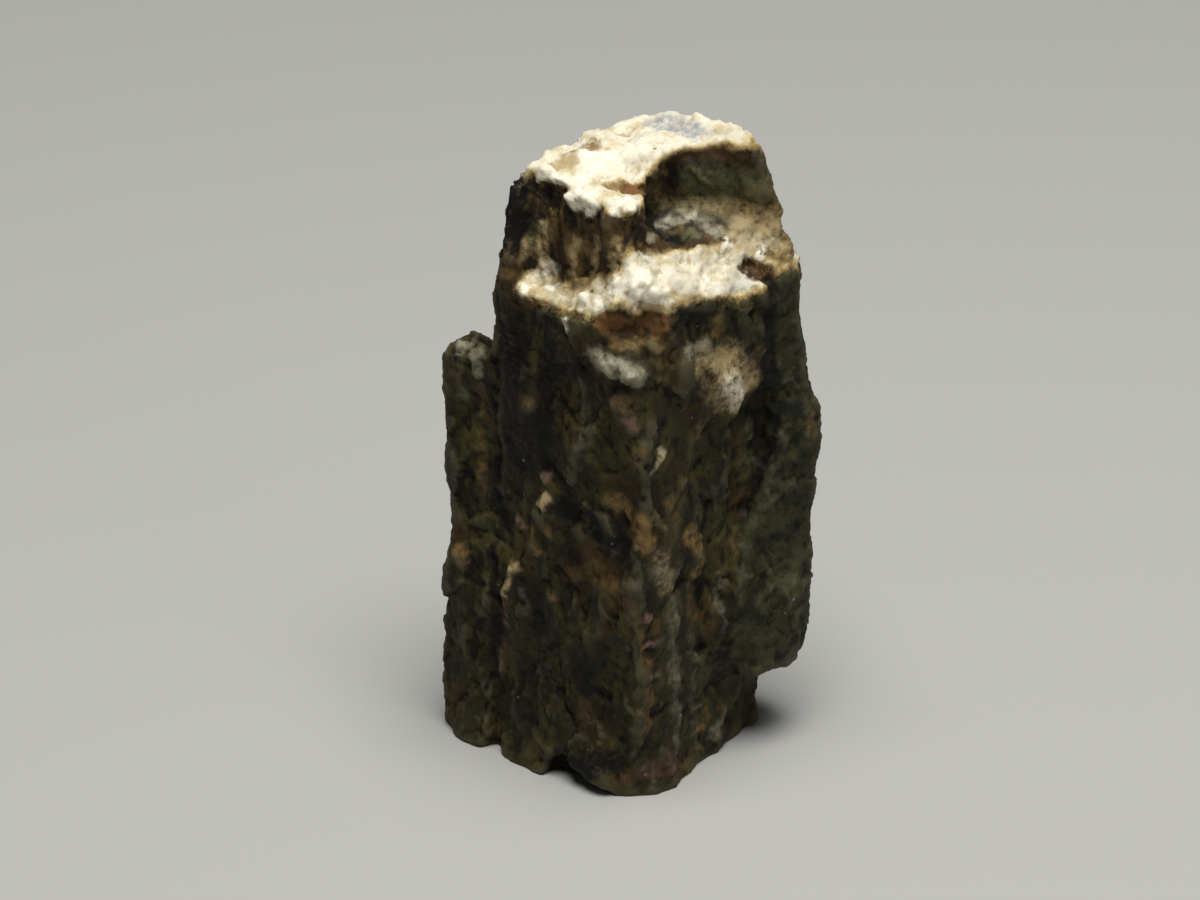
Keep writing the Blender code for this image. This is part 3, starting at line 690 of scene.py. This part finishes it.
# Heights in mm over which a kind of surface begins, or ends where the second is the lower one.
BREAK_BEGINS = (37.8, 39.4)
CLIFF_BEGINS = (39.6, 41.2)
SHOULDER_ENDS = (43.0, 41.5)
CRUST_BEGINS = (6.6, 7.6)
FOOT_ENDS = (0.15, 1.4)

# How much a face of the break looks up where it is brown, and where it is clean cream: the cream is
# painted light from above, laid on the break's own paler colour. The low part of the shoulder is
# a little cleaner.
UPWARD = (0.16, 0.76)
SHOULDER_UPWARD = 0.12
# How clean the break is where the relief of the cliff gives way to that of the top.
TOP_BEGINS = (0.35, 0.55)

# The crust's ragged left edge: how far right it lies, in X, at each height.
CRUST_EDGE_HEIGHTS = (6.5, 8.0, 11.0, 18.0, 20.0, 25.0, 38.0)
CRUST_EDGE_X = (5.2, 1.5, 1.3, 2.7, 3.4, 5.5, 5.1)
# The crust lies outside the prism's right face, or outside the back face next to it.
RIGHT_FACE_Y = -8.7
BACK_FACE_X = 9.0

# The way that the edge between the back faces looks, and how much a face behind looks that way.
# The back faces have no shoulder: there the brown break ends in tongues that reach this many mm.
BACK_EDGE = np.array([0.8, 0.6, 0.0])
BEHIND = (0.0, 0.6)
TONGUE_REACH = 7.0

# Rounds of relaxing: the more rounds, the wider the blur.
STEP_ROUNDS = 5  # takes the remesh's small steps away
NORMAL_ROUNDS = 4  # so that relief doesn't splay at the edges
FACING_ROUNDS = 8  # so that a face looks where its whole form does
BREAK_ROUNDS = 14  # so that the clean break is soiled little by little

# Rounds of relaxing that a vertex is measured against, and the depth in mm that counts in full.
HOLLOWS = (40, 0.22)
CRACKS = (6, 0.05)

# Distances from a mark's middle line, in its radii, between which its colour and its swell fade.
MARK_FADES = (0.25, 1.30)
SWELL_FADES = (0.2, 1.0)
# How far, in mm, the outlines of the marks are pushed about.
PUSH_REACH = 0.5
FINE_PUSH_REACH = 0.2

# Rise in mm of the rough noise that is cut into steps.
FLAKE_RISE = 0.26
CRUMB_RISE = 0.28
SPLIT_RISE = 0.25
# Where the noise of the pits begins to sink, and where it is as deep as a pit.
PIT_LIMITS = (0.36, 0.62)


def find_zones(places, facing, soiled_and_shaded, edges):
    """Parts the surface into broken top, cliff, crust and prism skin, by place and facing.

    Ragged noise moves each border, by as many mm as the number before it.
    """
    x, y, z = places.T
    ragged = lumps(places, RAGGED)
    fine_ragged = lumps(places, FINE_RAGGED)
    high = smoothstep(*BREAK_BEGINS, z + 0.5 * ragged + 0.2 * fine_ragged)
    behind = smoothstep(*BEHIND, facing @ BACK_EDGE)
    shoulder = smoothstep(*SHOULDER_ENDS, z) * (1.0 - behind)
    upward = facing[:, 2] + 0.10 * ragged + 0.08 * fine_ragged + SHOULDER_UPWARD * shoulder
    # Painted light: the break is paler cream the more it faces up.
    fresh = high * smoothstep(*UPWARD, upward) * (1.0 - soiled_and_shaded)
    fresh = relax(fresh[:, None], edges, BREAK_ROUNDS)[:, 0]
    top = smoothstep(*TOP_BEGINS, fresh)
    tongues = TONGUE_REACH * behind * lumps(places, TONGUES)
    cliff = smoothstep(*CLIFF_BEGINS, z + 0.8 * ragged + tongues) * (1.0 - top)
    crust_edge = np.interp(z, CRUST_EDGE_HEIGHTS, CRUST_EDGE_X)
    right = smoothstep(-0.5, 0.5, x - crust_edge + 0.6 * ragged)
    outer = smoothstep(0.0, 1.0, np.maximum(RIGHT_FACE_Y - y, x - BACK_FACE_X))
    above_gap = smoothstep(*CRUST_BEGINS, z + 0.5 * ragged)
    crust = right * outer * above_gap * (1.0 - top) * (1.0 - cliff)
    skin = (1.0 - top) * (1.0 - cliff) * (1.0 - crust)
    foot = smoothstep(*FOOT_ENDS, z)
    return Zones(fresh, top, cliff, crust, skin, foot)


def relief(places, zones, settings):
    """How far each vertex moves along its normal, in mm."""
    facet = settings.facet / MM
    flake = settings.flake / MM
    crumb = settings.crumb / MM

    # What more than one kind of surface shows, each by a weight of its own.
    fine = settings.grit / MM * grains(places, GRIT)
    pits = settings.pit / MM * smoothstep(*PIT_LIMITS, lumps(places, PITS))
    broad = facet * facets(places, FACETS)
    small = settings.chip / MM * facets(places, CHIPS)

    flakes = terraces(FLAKE_RISE * grains(places, FLAKES), flake)
    lines = settings.striation / MM * lumps(places, STRIATIONS)
    skin = broad + small + flakes + lines + fine - pits

    soft_lumps = settings.lump / MM * (0.5 - np.abs(lumps(places, SOFT_LUMPS)))
    crust = soft_lumps + 0.4 * broad + small + 2.4 * fine - 0.6 * pits

    crumbs = terraces(CRUMB_RISE * grains(places, CRUMBS), crumb)
    knots = 0.35 * facet * facets(places, KNOTS)
    top = crumbs + knots + 0.7 * fine - 0.4 * pits

    flutes = settings.flute / MM * lumps(places, FLUTES)
    splits = terraces(SPLIT_RISE * grains(places, SPLITS), crumb)
    cliff = flutes + splits + 0.8 * broad + small + fine

    blended = zones.skin * skin + zones.crust * crust + zones.top * top + zones.cliff * cliff
    return blended * zones.foot


def distance_to(mark, places):
    """Distance from a mark's middle line, in radii of the mark."""
    start, end = np.array(mark.start), np.array(mark.end)
    along = end - start
    length_squared = max(float(along @ along), 1e-9)
    share = np.clip((places - start) @ along / length_squared, 0.0, 1.0)
    nearest = start + share[:, None] * along
    return np.linalg.norm(places - nearest, axis=1) / mark.radius


def mineral_share(marks, places):
    """How much of a mineral shows at each vertex, and how far its marks swell the face in mm."""
    share = np.zeros(len(places))
    swell = np.zeros(len(places))
    for mark in marks:
        distance = distance_to(mark, places)
        share = np.maximum(share, mark.strength * (1.0 - smoothstep(*MARK_FADES, distance)))
        swell += mark.swell * (1.0 - smoothstep(*SWELL_FADES, distance))
    return share, swell


def warped(places):
    """The places pushed about a little, so that the marks read there have ragged outlines."""
    push = np.array([lumps(places, pattern) for pattern in PUSHES]).T
    fine_push = np.array([lumps(places, pattern) for pattern in FINE_PUSHES]).T
    return places + PUSH_REACH * push + FINE_PUSH_REACH * fine_push


def store(mesh, name, values):
    """Keeps one number for each vertex on the mesh, for its material to read."""
    attribute = mesh.attributes.new(name, "FLOAT", "POINT")
    attribute.data.foreach_set("value", values.astype(np.float32))


def hollowness(places, normals, edges, rounds, reach):
    """From -1 on a ridge to 1 in a hollow, against the surface relaxed by that many rounds."""
    depth = ((relax(places, edges, rounds) - places) * normals).sum(axis=1)
    return np.clip(depth / reach, -1.0, 1.0)


def carve(stone, settings):
    """Gives the stone its fine relief, and keeps what its material reads on the mesh."""
    mesh = stone.data
    edges = read_edges(mesh)
    places = relax(read_vectors(mesh, "co") / MM, edges, STEP_ROUNDS)
    write_places(mesh, places * MM)
    normals = unit(relax(read_vectors(mesh, "normal"), edges, NORMAL_ROUNDS))
    facing = unit(relax(normals, edges, FACING_ROUNDS))
    marked = warped(places)
    soiled_and_shaded, _ = mineral_share(SOILED_AND_SHADED, marked)
    zones = find_zones(places, facing, soiled_and_shaded, edges)
    swell = np.zeros(len(places))
    for name, marks in MINERALS.items():
        share, marks_swell = mineral_share(marks, marked)
        store(mesh, name, share)
        swell += marks_swell
    moved = places + normals * (relief(places, zones, settings) + zones.foot * swell)[:, None]
    moved[:, 2] = np.maximum(moved[:, 2], 0.0)
    write_places(mesh, moved * MM)
    for name in ("fresh", "cliff", "crust"):
        store(mesh, name, getattr(zones, name))
    normals = read_vectors(mesh, "normal")
    store(mesh, "hollow", hollowness(moved, normals, edges, *HOLLOWS))
    store(mesh, "crack", hollowness(moved, normals, edges, *CRACKS))


# ---------------------------------------------------------------- materials


def fill_inputs(tree, node, inputs):
    """Links a node's inputs to other nodes, or sets them."""
    for key, value in inputs.items():
        if isinstance(value, NodeSocket):
            tree.links.new(value, node.inputs[key])
        else:
            node.inputs[key].default_value = value


def add_node(tree, kind, inputs, output=0, **settings):
    """Adds a node with its settings and inputs, and returns one of its outputs."""
    node = tree.nodes.new("ShaderNode" + kind)
    for name, value in settings.items():
        setattr(node, name, value)
    fill_inputs(tree, node, inputs)
    return node.outputs[output]


def new_material(name):
    """A material, and its tree of nodes."""
    material = bpy.data.materials.new(name)
    material.use_nodes = True
    return material, material.node_tree


def opaque(colour):
    """A linear colour with its alpha."""
    return (*colour, 1.0)


def lay_over(tree, colour, layers):
    """Colours laid over one another in turn, each by a share from 0 to 1."""
    for share, above in layers:
        colour = add_node(
            tree, "Mix", {0: share, 6: colour, 7: above}, 2, data_type="RGBA",
        )
    return colour


class Cloud(NamedTuple):
    """A colour of the settings in clouds of a real size along X, Y and Z, in mm.

    It shows where the noise is above low, most above high, and there by its share.
    """

    colour: str
    size: tuple
    low: float
    high: float
    share: float


# Weathered mica schist: olive on near-black, rusty in places, with fine upright mica lines.
SKIN_CLOUDS = (
    Cloud("skin_olive", (2.6, 2.6, 4.0), 0.40, 0.64, 1.0),
    Cloud("skin_brown", (3.2, 3.2, 4.4), 0.50, 0.70, 0.80),
    Cloud("cliff", (1.3, 1.3, 2.4), 0.58, 0.74, 0.50),
    Cloud("graphite", (1.7, 1.7, 2.6), 0.56, 0.72, 0.70),
    Cloud("sericite", (0.6, 0.6, 2.6), 0.60, 0.78, 0.15),
)

# Schist crust: even olive-grey with a fine pale grit.
CRUST_CLOUDS = (
    Cloud("crust", (1.5, 1.5, 1.8), 0.36, 0.62, 1.0),
    Cloud("chlorite", (3.0, 3.0, 4.0), 0.52, 0.72, 0.50),
    Cloud("sericite", (0.35, 0.35, 0.35), 0.64, 0.76, 0.30),
)

# Upright break: umber and near-black in streaks that run down it.
CLIFF_CLOUDS = (
    Cloud("cliff", (1.3, 1.3, 2.6), 0.42, 0.64, 0.9),
    Cloud("fresh_tan", (1.1, 1.1, 2.0), 0.58, 0.76, 0.50),
    Cloud("graphite", (1.4, 1.4, 2.6), 0.54, 0.70, 0.60),
)

# Clean break: cream andalusite, clouded beige and grey, with a few carbon specks.
FRESH_CLOUDS = (
    Cloud("fresh_beige", (1.8, 1.8, 1.8), 0.46, 0.66, 0.90),
    Cloud("fresh_grey", (2.2, 2.2, 2.2), 0.52, 0.70, 0.80),
    Cloud("fresh_tan", (0.9, 0.9, 0.9), 0.60, 0.74, 0.60),
    Cloud("cliff_dark", (0.35, 0.35, 0.35), 0.66, 0.74, 0.45),
)

# Another shift of the 4D noise gives each cloud a pattern of its own.
CLOUD_SHIFT = 5.3


class Coat(NamedTuple):
    """A colour that begins where a value held on the mesh is low and covers by its share at high.

    Torn values have ragged borders, and patchy ones are broken up by mottling.
    """

    colour: str
    value: str
    low: float
    high: float
    share: float = 1.0


# Iron in the hollows and cracks of the clean break.
STAINS = (
    Coat("fresh_stain", "torn hollow", 0.30, 1.00, 0.45),
    Coat("fresh_stain", "crack", 0.40, 1.00, 0.30),
)

# Laid over the clouded skin in this order: crust and cliff, rubbed ridges, near-black in hollows
# and cracks as carbon dust and painted shade, and the break in ever paler tones where it faces up,
# its own paler colour and painted light from above.
COATS = (
    Coat("clouded crust", "torn crust", 0.30, 0.70),
    Coat("clouded cliff", "torn cliff", 0.30, 0.70),
    Coat("sericite", "hollow", -0.30, -1.00, 0.16),
    # Painted shade: near-black in the hollows and cracks, on top of carbon dust.
    Coat("graphite", "torn hollow", 0.25, 0.90, 0.75),
    Coat("graphite", "crack", 0.35, 1.00, 0.60),
    Coat("fresh_tan", "torn fresh", 0.14, 0.36),
    Coat("fresh_beige", "torn fresh", 0.36, 0.58),
    Coat("clean break", "torn fresh", 0.56, 0.80),
)
MINERAL_COATS = tuple(Coat(name, f"patchy {name}", 0.03, 0.85) for name in MINERALS)

# Borders are ragged over about this many mm, and are moved by these weights.
TEAR_SIZE = 0.55
TEAR_WEIGHTS = {"fresh": 1.0, "cliff": 0.9, "crust": 0.9, "hollow": 1.0}
# What a mineral's share is multiplied by: a mean, and how far the same noise spreads about it.
MOTTLE_MEAN = 0.90
MOTTLE_SPREAD = 3.2

STONE_ROUGHNESS = 0.50  # where its noise is lowest
ROUGHNESS_SPREAD = 0.30
SERICITE_GLOSS = 0.20
ANDALUSITE_IOR = 1.63
STONE_SPECULAR = 0.14  # grit scatters most of the gloss away
# Grit in mm, a little coarser than the real one so that it shows.
GRIT_SIZE = 0.16
GRIT_DEPTH = 0.05

MICA_IOR = 1.6
MICA_ROUGHNESS = 0.42
MICA_TINT_SIZE = 2.0  # mm over which the tint changes, so that neighbouring scales differ


def clouds_over(tree, places, base, clouds, settings):
    """A base colour with clouds of other colours over it."""
    layers = []
    for number, cloud in enumerate(clouds):
        stretched = add_node(
            tree, "VectorMath", {0: places, 1: cloud.size}, operation="DIVIDE",
        )
        cloudy = add_node(
            tree, "TexNoise",
            {"Vector": stretched, "W": CLOUD_SHIFT * number, "Scale": 1.0, "Detail": 4.0,
             "Roughness": 0.62},
            noise_dimensions="4D",
        )
        share = add_node(
            tree, "MapRange",
            {"Value": cloudy, "From Min": cloud.low, "From Max": cloud.high,
             "To Max": cloud.share},
            interpolation_type="SMOOTHSTEP",
        )
        layers.append((share, opaque(getattr(settings, cloud.colour))))
    return lay_over(tree, base, layers)


def held_values(tree, raggedness):
    """The values that the mesh holds, by name, and some of them again as torn or patchy."""
    held = {
        name: add_node(tree, "Attribute", {}, "Fac", attribute_name=name)
        for name in ("fresh", "cliff", "crust", "hollow", "crack", *MINERALS)
    }
    for name, weight in TEAR_WEIGHTS.items():
        held[f"torn {name}"] = add_node(
            tree, "Math", {0: raggedness, 1: weight, 2: held[name]},
            operation="MULTIPLY_ADD",
        )
    mottle = add_node(
        tree, "Math", {0: raggedness, 1: MOTTLE_SPREAD, 2: MOTTLE_MEAN},
        operation="MULTIPLY_ADD",
    )
    for name in MINERALS:
        held[f"patchy {name}"] = add_node(
            tree, "Math", {0: held[name], 1: mottle}, operation="MULTIPLY",
        )
    return held


def coats_over(tree, colour, coats, held, colours):
    """A colour with coats over it."""
    layers = []
    for coat in coats:
        share = add_node(
            tree, "MapRange",
            {"Value": held[coat.value], "From Min": coat.low, "From Max": coat.high,
             "To Max": coat.share},
            interpolation_type="SMOOTHSTEP",
        )
        layers.append((share, colours[coat.colour]))
    return lay_over(tree, colour, layers)


def stone_colour(tree, places, held, settings):
    """Clouded skin, crust, cliff and clean break, with their wear and dirt and every mineral."""
    skin, crust, cliff, fresh = [
        clouds_over(tree, places, opaque(base), clouds, settings)
        for base, clouds in (
            (settings.skin_dark, SKIN_CLOUDS),
            (settings.crust_dark, CRUST_CLOUDS),
            (settings.cliff_dark, CLIFF_CLOUDS),
            (settings.fresh, FRESH_CLOUDS),
        )
    ]
    plain = ("fresh_stain", "fresh_tan", "fresh_beige", *MINERALS)
    colours = {name: opaque(getattr(settings, name)) for name in plain}
    colours["clouded crust"] = crust
    colours["clouded cliff"] = cliff
    colours["clean break"] = coats_over(tree, fresh, STAINS, held, colours)
    return coats_over(tree, skin, COATS + MINERAL_COATS, held, colours)


def stone_material(settings):
    """Rough chiastolite, andalusite with graphite: weathered outside, freshly broken on top.

    Natural stone is matt, with a faint satin where fine mica coats it, and never one colour. Its
    colours also carry painted light where the break faces up and painted shade in its hollows.
    """
    material, tree = new_material("rough broken chiastolite with mica schist skin")
    object_places = add_node(tree, "TexCoord", {}, "Object")
    places = add_node(
        tree, "VectorMath", {0: object_places, "Scale": 1.0 / MM}, operation="SCALE",
    )
    ragged = add_node(
        tree, "TexNoise",
        {"Vector": places, "Scale": 1.0 / TEAR_SIZE, "Detail": 5.0, "Roughness": 0.68},
    )
    raggedness = add_node(tree, "Math", {0: ragged, 1: 0.5}, operation="SUBTRACT")
    held = held_values(tree, raggedness)
    colour = stone_colour(tree, places, held, settings)
    roughness = add_node(
        tree, "Math", {0: ragged, 1: ROUGHNESS_SPREAD, 2: STONE_ROUGHNESS},
        operation="MULTIPLY_ADD",
    )
    roughness = add_node(
        tree, "Math", {0: held["sericite"], 1: -SERICITE_GLOSS, 2: roughness},
        operation="MULTIPLY_ADD",
    )
    grit = add_node(
        tree, "TexNoise",
        {"Vector": places, "Scale": 1.0 / GRIT_SIZE, "Detail": 3.0, "Roughness": 0.6},
    )
    bump = add_node(
        tree, "Bump", {"Height": grit, "Strength": 0.8, "Distance": GRIT_DEPTH * MM},
    )
    fill_inputs(tree, tree.nodes["Principled BSDF"], {
        "Base Color": colour, "Roughness": roughness, "Normal": bump,
        "IOR": ANDALUSITE_IOR, "Specular IOR Level": STONE_SPECULAR,
    })
    return material


def mica_material(settings):
    """Muscovite mica: thin cleaved scales with a pearly gloss, some tinted by iron."""
    material, tree = new_material("cleaved muscovite mica")
    object_places = add_node(tree, "TexCoord", {}, "Object")
    tint = add_node(
        tree, "TexNoise",
        {"Vector": object_places, "Scale": 1.0 / (MICA_TINT_SIZE * MM)},
    )
    share = add_node(
        tree, "MapRange", {"Value": tint, "From Min": 0.4, "From Max": 0.6},
        interpolation_type="SMOOTHSTEP",
    )
    colour = lay_over(tree, opaque(settings.bronze), [(share, opaque(settings.silver))])
    fill_inputs(tree, tree.nodes["Principled BSDF"], {
        "Base Color": colour, "Roughness": MICA_ROUGHNESS, "IOR": MICA_IOR,
    })
    return material


# ---------------------------------------------------------------- pieces


class CRYSTAL_OT_stone(Operator):
    """Dress the crystal's solid with its fine broken surface"""

    bl_idname = "crystal.add_stone"
    bl_label = "Stone"

    def execute(self, context):
        settings = context.scene.crystal_stone
        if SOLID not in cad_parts:
            raise RuntimeError(f"the packed model has no node {SOLID}")
        stone = even_copy(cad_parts[SOLID], settings.grid)
        carve(stone, settings)
        stone.data.materials.append(stone_material(settings))
        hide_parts("chiastolite_crystal")
        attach(stone, "root")
        return {"FINISHED"}


class CRYSTAL_OT_mica(Operator):
    """Bed small scales of mica in the stone's surface"""

    bl_idname = "crystal.add_mica"
    bl_label = "Mica scales"

    def execute(self, context):
        settings = context.scene.crystal_mica
        stone = bpy.data.objects.get(STONE)
        if stone is None:
            raise RuntimeError("mica scales need the stone: add it first")
        mica = add_object(MICA, scale_mesh(stone, settings))
        mica.data.materials.append(mica_material(settings))
        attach(mica, "root")
        return {"FINISHED"}


SCALE_LOT = 5  # picks where the scattered scales lie and how they lean
SCALES_FROM = 1.0  # mm above the floor
WIDTH_SPREAD = (0.6, 1.5)  # of a usual scale's width
SQUASH_SPREAD = (0.35, 1.0)  # of its width, across


def add_scale(scales, place, normal, width, settings, chance):
    """One thin six-sided scale that lies in the surface, leaning and turned by lot."""
    lean = Matrix.Rotation(chance.uniform(-settings.tilt, settings.tilt), 4, "X")
    spin = Matrix.Rotation(chance.uniform(0.0, math.tau), 4, "Z")
    lie = normal.to_track_quat("Z", "Y").to_matrix().to_4x4()
    squash = Matrix.Diagonal((1.0, chance.uniform(*SQUASH_SPREAD), 1.0, 1.0))
    bmesh.ops.create_cone(
        scales, cap_ends=True, segments=6, radius1=width / 2, radius2=width / 2,
        depth=settings.thickness,
        matrix=Matrix.Translation(place) @ lie @ lean @ spin @ squash,
    )


def scale_mesh(stone, settings):
    """Scales scattered over the stone by lot, and large ones that lean back to flash."""
    chance = random.Random(SCALE_LOT)
    scales = bmesh.new()
    sites = [v for v in stone.data.vertices if v.co.z > SCALES_FROM * MM]
    for site in chance.sample(sites, settings.count):
        width = settings.width * chance.uniform(*WIDTH_SPREAD)
        add_scale(scales, site.co, site.normal, width, settings, chance)
    for glint in GLINTS:
        _, place, normal, _ = stone.closest_point_on_mesh(Vector(glint) * MM)
        leaning_back = (normal + Vector((0.0, 0.0, 1.0))).normalized()
        add_scale(scales, place, leaning_back, settings.glint_width, settings, chance)
    mesh = bpy.data.meshes.new(MICA)
    scales.to_mesh(mesh)
    scales.free()
    return mesh


# ---------------------------------------------------------------- stage


class CRYSTAL_OT_stage(Operator):
    """Add the floor, the lights and the camera"""

    bl_idname = "crystal.add_stage"
    bl_label = "Stage"

    def execute(self, context):
        settings = context.scene.crystal_stage
        add_floor(settings)
        add_lights(context.scene, settings)
        add_camera(context.scene, settings)
        return {"FINISHED"}


class Softbox(NamedTuple):
    """Where a light stands: degrees round from the camera and up, and metres from the stone."""

    turn: float
    height: float
    distance: float


KEY = Softbox(20, 80, 0.55)
FILL = Softbox(50, 25, 0.60)

BOARD_SIZE = 2.0  # metres
BOARD_ROUGHNESS = 0.85
AIM = Vector((-3.28, -0.36, 25.34)) * MM  # the point that the camera looks at
STONE_MIDDLE = Vector((0.0, 0.0, 25.0)) * MM
SENSOR_WIDTH = 36.0  # mm
CLIP_START = 0.01  # metres


def direction(azimuth, elevation):
    """The way from the stone to the camera, for an azimuth and an elevation."""
    level = math.cos(elevation)
    return Vector((math.sin(azimuth) * level, -math.cos(azimuth) * level, math.sin(elevation)))


def add_floor(settings):
    """A matt painted board, much wider than the view, which shows no highlight."""
    board = bmesh.new()
    bmesh.ops.create_grid(board, x_segments=1, y_segments=1, size=BOARD_SIZE)
    mesh = bpy.data.meshes.new("floor")
    board.to_mesh(mesh)
    board.free()
    floor = add_object("floor", mesh)
    material, tree = new_material("matt painted board")
    fill_inputs(tree, tree.nodes["Principled BSDF"], {
        "Base Color": opaque(settings.floor), "Roughness": BOARD_ROUGHNESS,
    })
    mesh.materials.append(material)


def add_softbox(name, softbox, power, settings):
    """A square area light aimed at the stone's middle."""
    light = bpy.data.lights.new(name, "AREA")
    light.energy = power
    light.size = settings.softbox_width
    lamp = add_object(name, light)
    azimuth = settings.azimuth + math.radians(softbox.turn)
    away = direction(azimuth, math.radians(softbox.height))
    lamp.location = STONE_MIDDLE + softbox.distance * away
    lamp.rotation_euler = (STONE_MIDDLE - lamp.location).to_track_quat("-Z", "Y").to_euler()


def add_lights(scene, settings):
    """A softbox almost overhead, a weak fill at the camera's right, and a pale sky."""
    add_softbox("key softbox", KEY, settings.key_power, settings)
    add_softbox("fill softbox", FILL, settings.fill_power, settings)
    sky = bpy.data.worlds.new("pale room")
    sky.use_nodes = True
    fill_inputs(sky.node_tree, sky.node_tree.nodes["Background"], {
        "Color": opaque(settings.sky), "Strength": settings.sky_strength,
    })
    scene.world = sky
    scene.view_settings.view_transform = "Standard"


def add_camera(scene, settings):
    """A long lens that looks down on the corner between the prism's two front faces."""
    camera = bpy.data.cameras.new("camera")
    camera.lens = settings.focal_length
    camera.sensor_width = SENSOR_WIDTH
    camera.clip_start = CLIP_START
    eye = add_object("camera", camera)
    back = direction(settings.azimuth, settings.elevation)
    eye.location = AIM + settings.distance * back
    eye.rotation_euler = (-back).to_track_quat("-Z", "Y").to_euler()
    scene.camera = eye


# ---------------------------------------------------------------- add-on


class CRYSTAL_PT_sidebar(Panel):
    """Lists the crystal's pieces and their settings"""

    bl_idname = "CRYSTAL_PT_sidebar"
    bl_label = "Chiastolite crystal"
    bl_space_type = "VIEW_3D"
    bl_region_type = "UI"
    bl_category = "Crystal"

    def draw(self, context):
        scene = context.scene
        for operator, settings in (
            ("crystal.add_stone", scene.crystal_stone),
            ("crystal.add_mica", scene.crystal_mica),
            ("crystal.add_stage", scene.crystal_stage),
        ):
            box = self.layout.box()
            box.operator(operator)
            for name in settings.bl_rna.properties.keys():
                if name not in ("rna_type", "name"):
                    box.prop(settings, name)


CLASSES = (
    StoneSettings,
    MicaSettings,
    StageSettings,
    CRYSTAL_OT_stone,
    CRYSTAL_OT_mica,
    CRYSTAL_OT_stage,
    CRYSTAL_PT_sidebar,
)


SETTINGS = {
    "crystal_stone": StoneSettings,
    "crystal_mica": MicaSettings,
    "crystal_stage": StageSettings,
}


def register():
    for entry in CLASSES:
        bpy.utils.register_class(entry)
    for name, group in SETTINGS.items():
        setattr(bpy.types.Scene, name, PointerProperty(type=group))


def unregister():
    for name in SETTINGS:
        delattr(bpy.types.Scene, name)
    for entry in reversed(CLASSES):
        bpy.utils.unregister_class(entry)


def main():
    """Builds everything."""
    register()
    bpy.ops.crystal.add_stage()
    bpy.ops.crystal.add_stone()
    bpy.ops.crystal.add_mica()


if __name__ == "__main__":
    main()
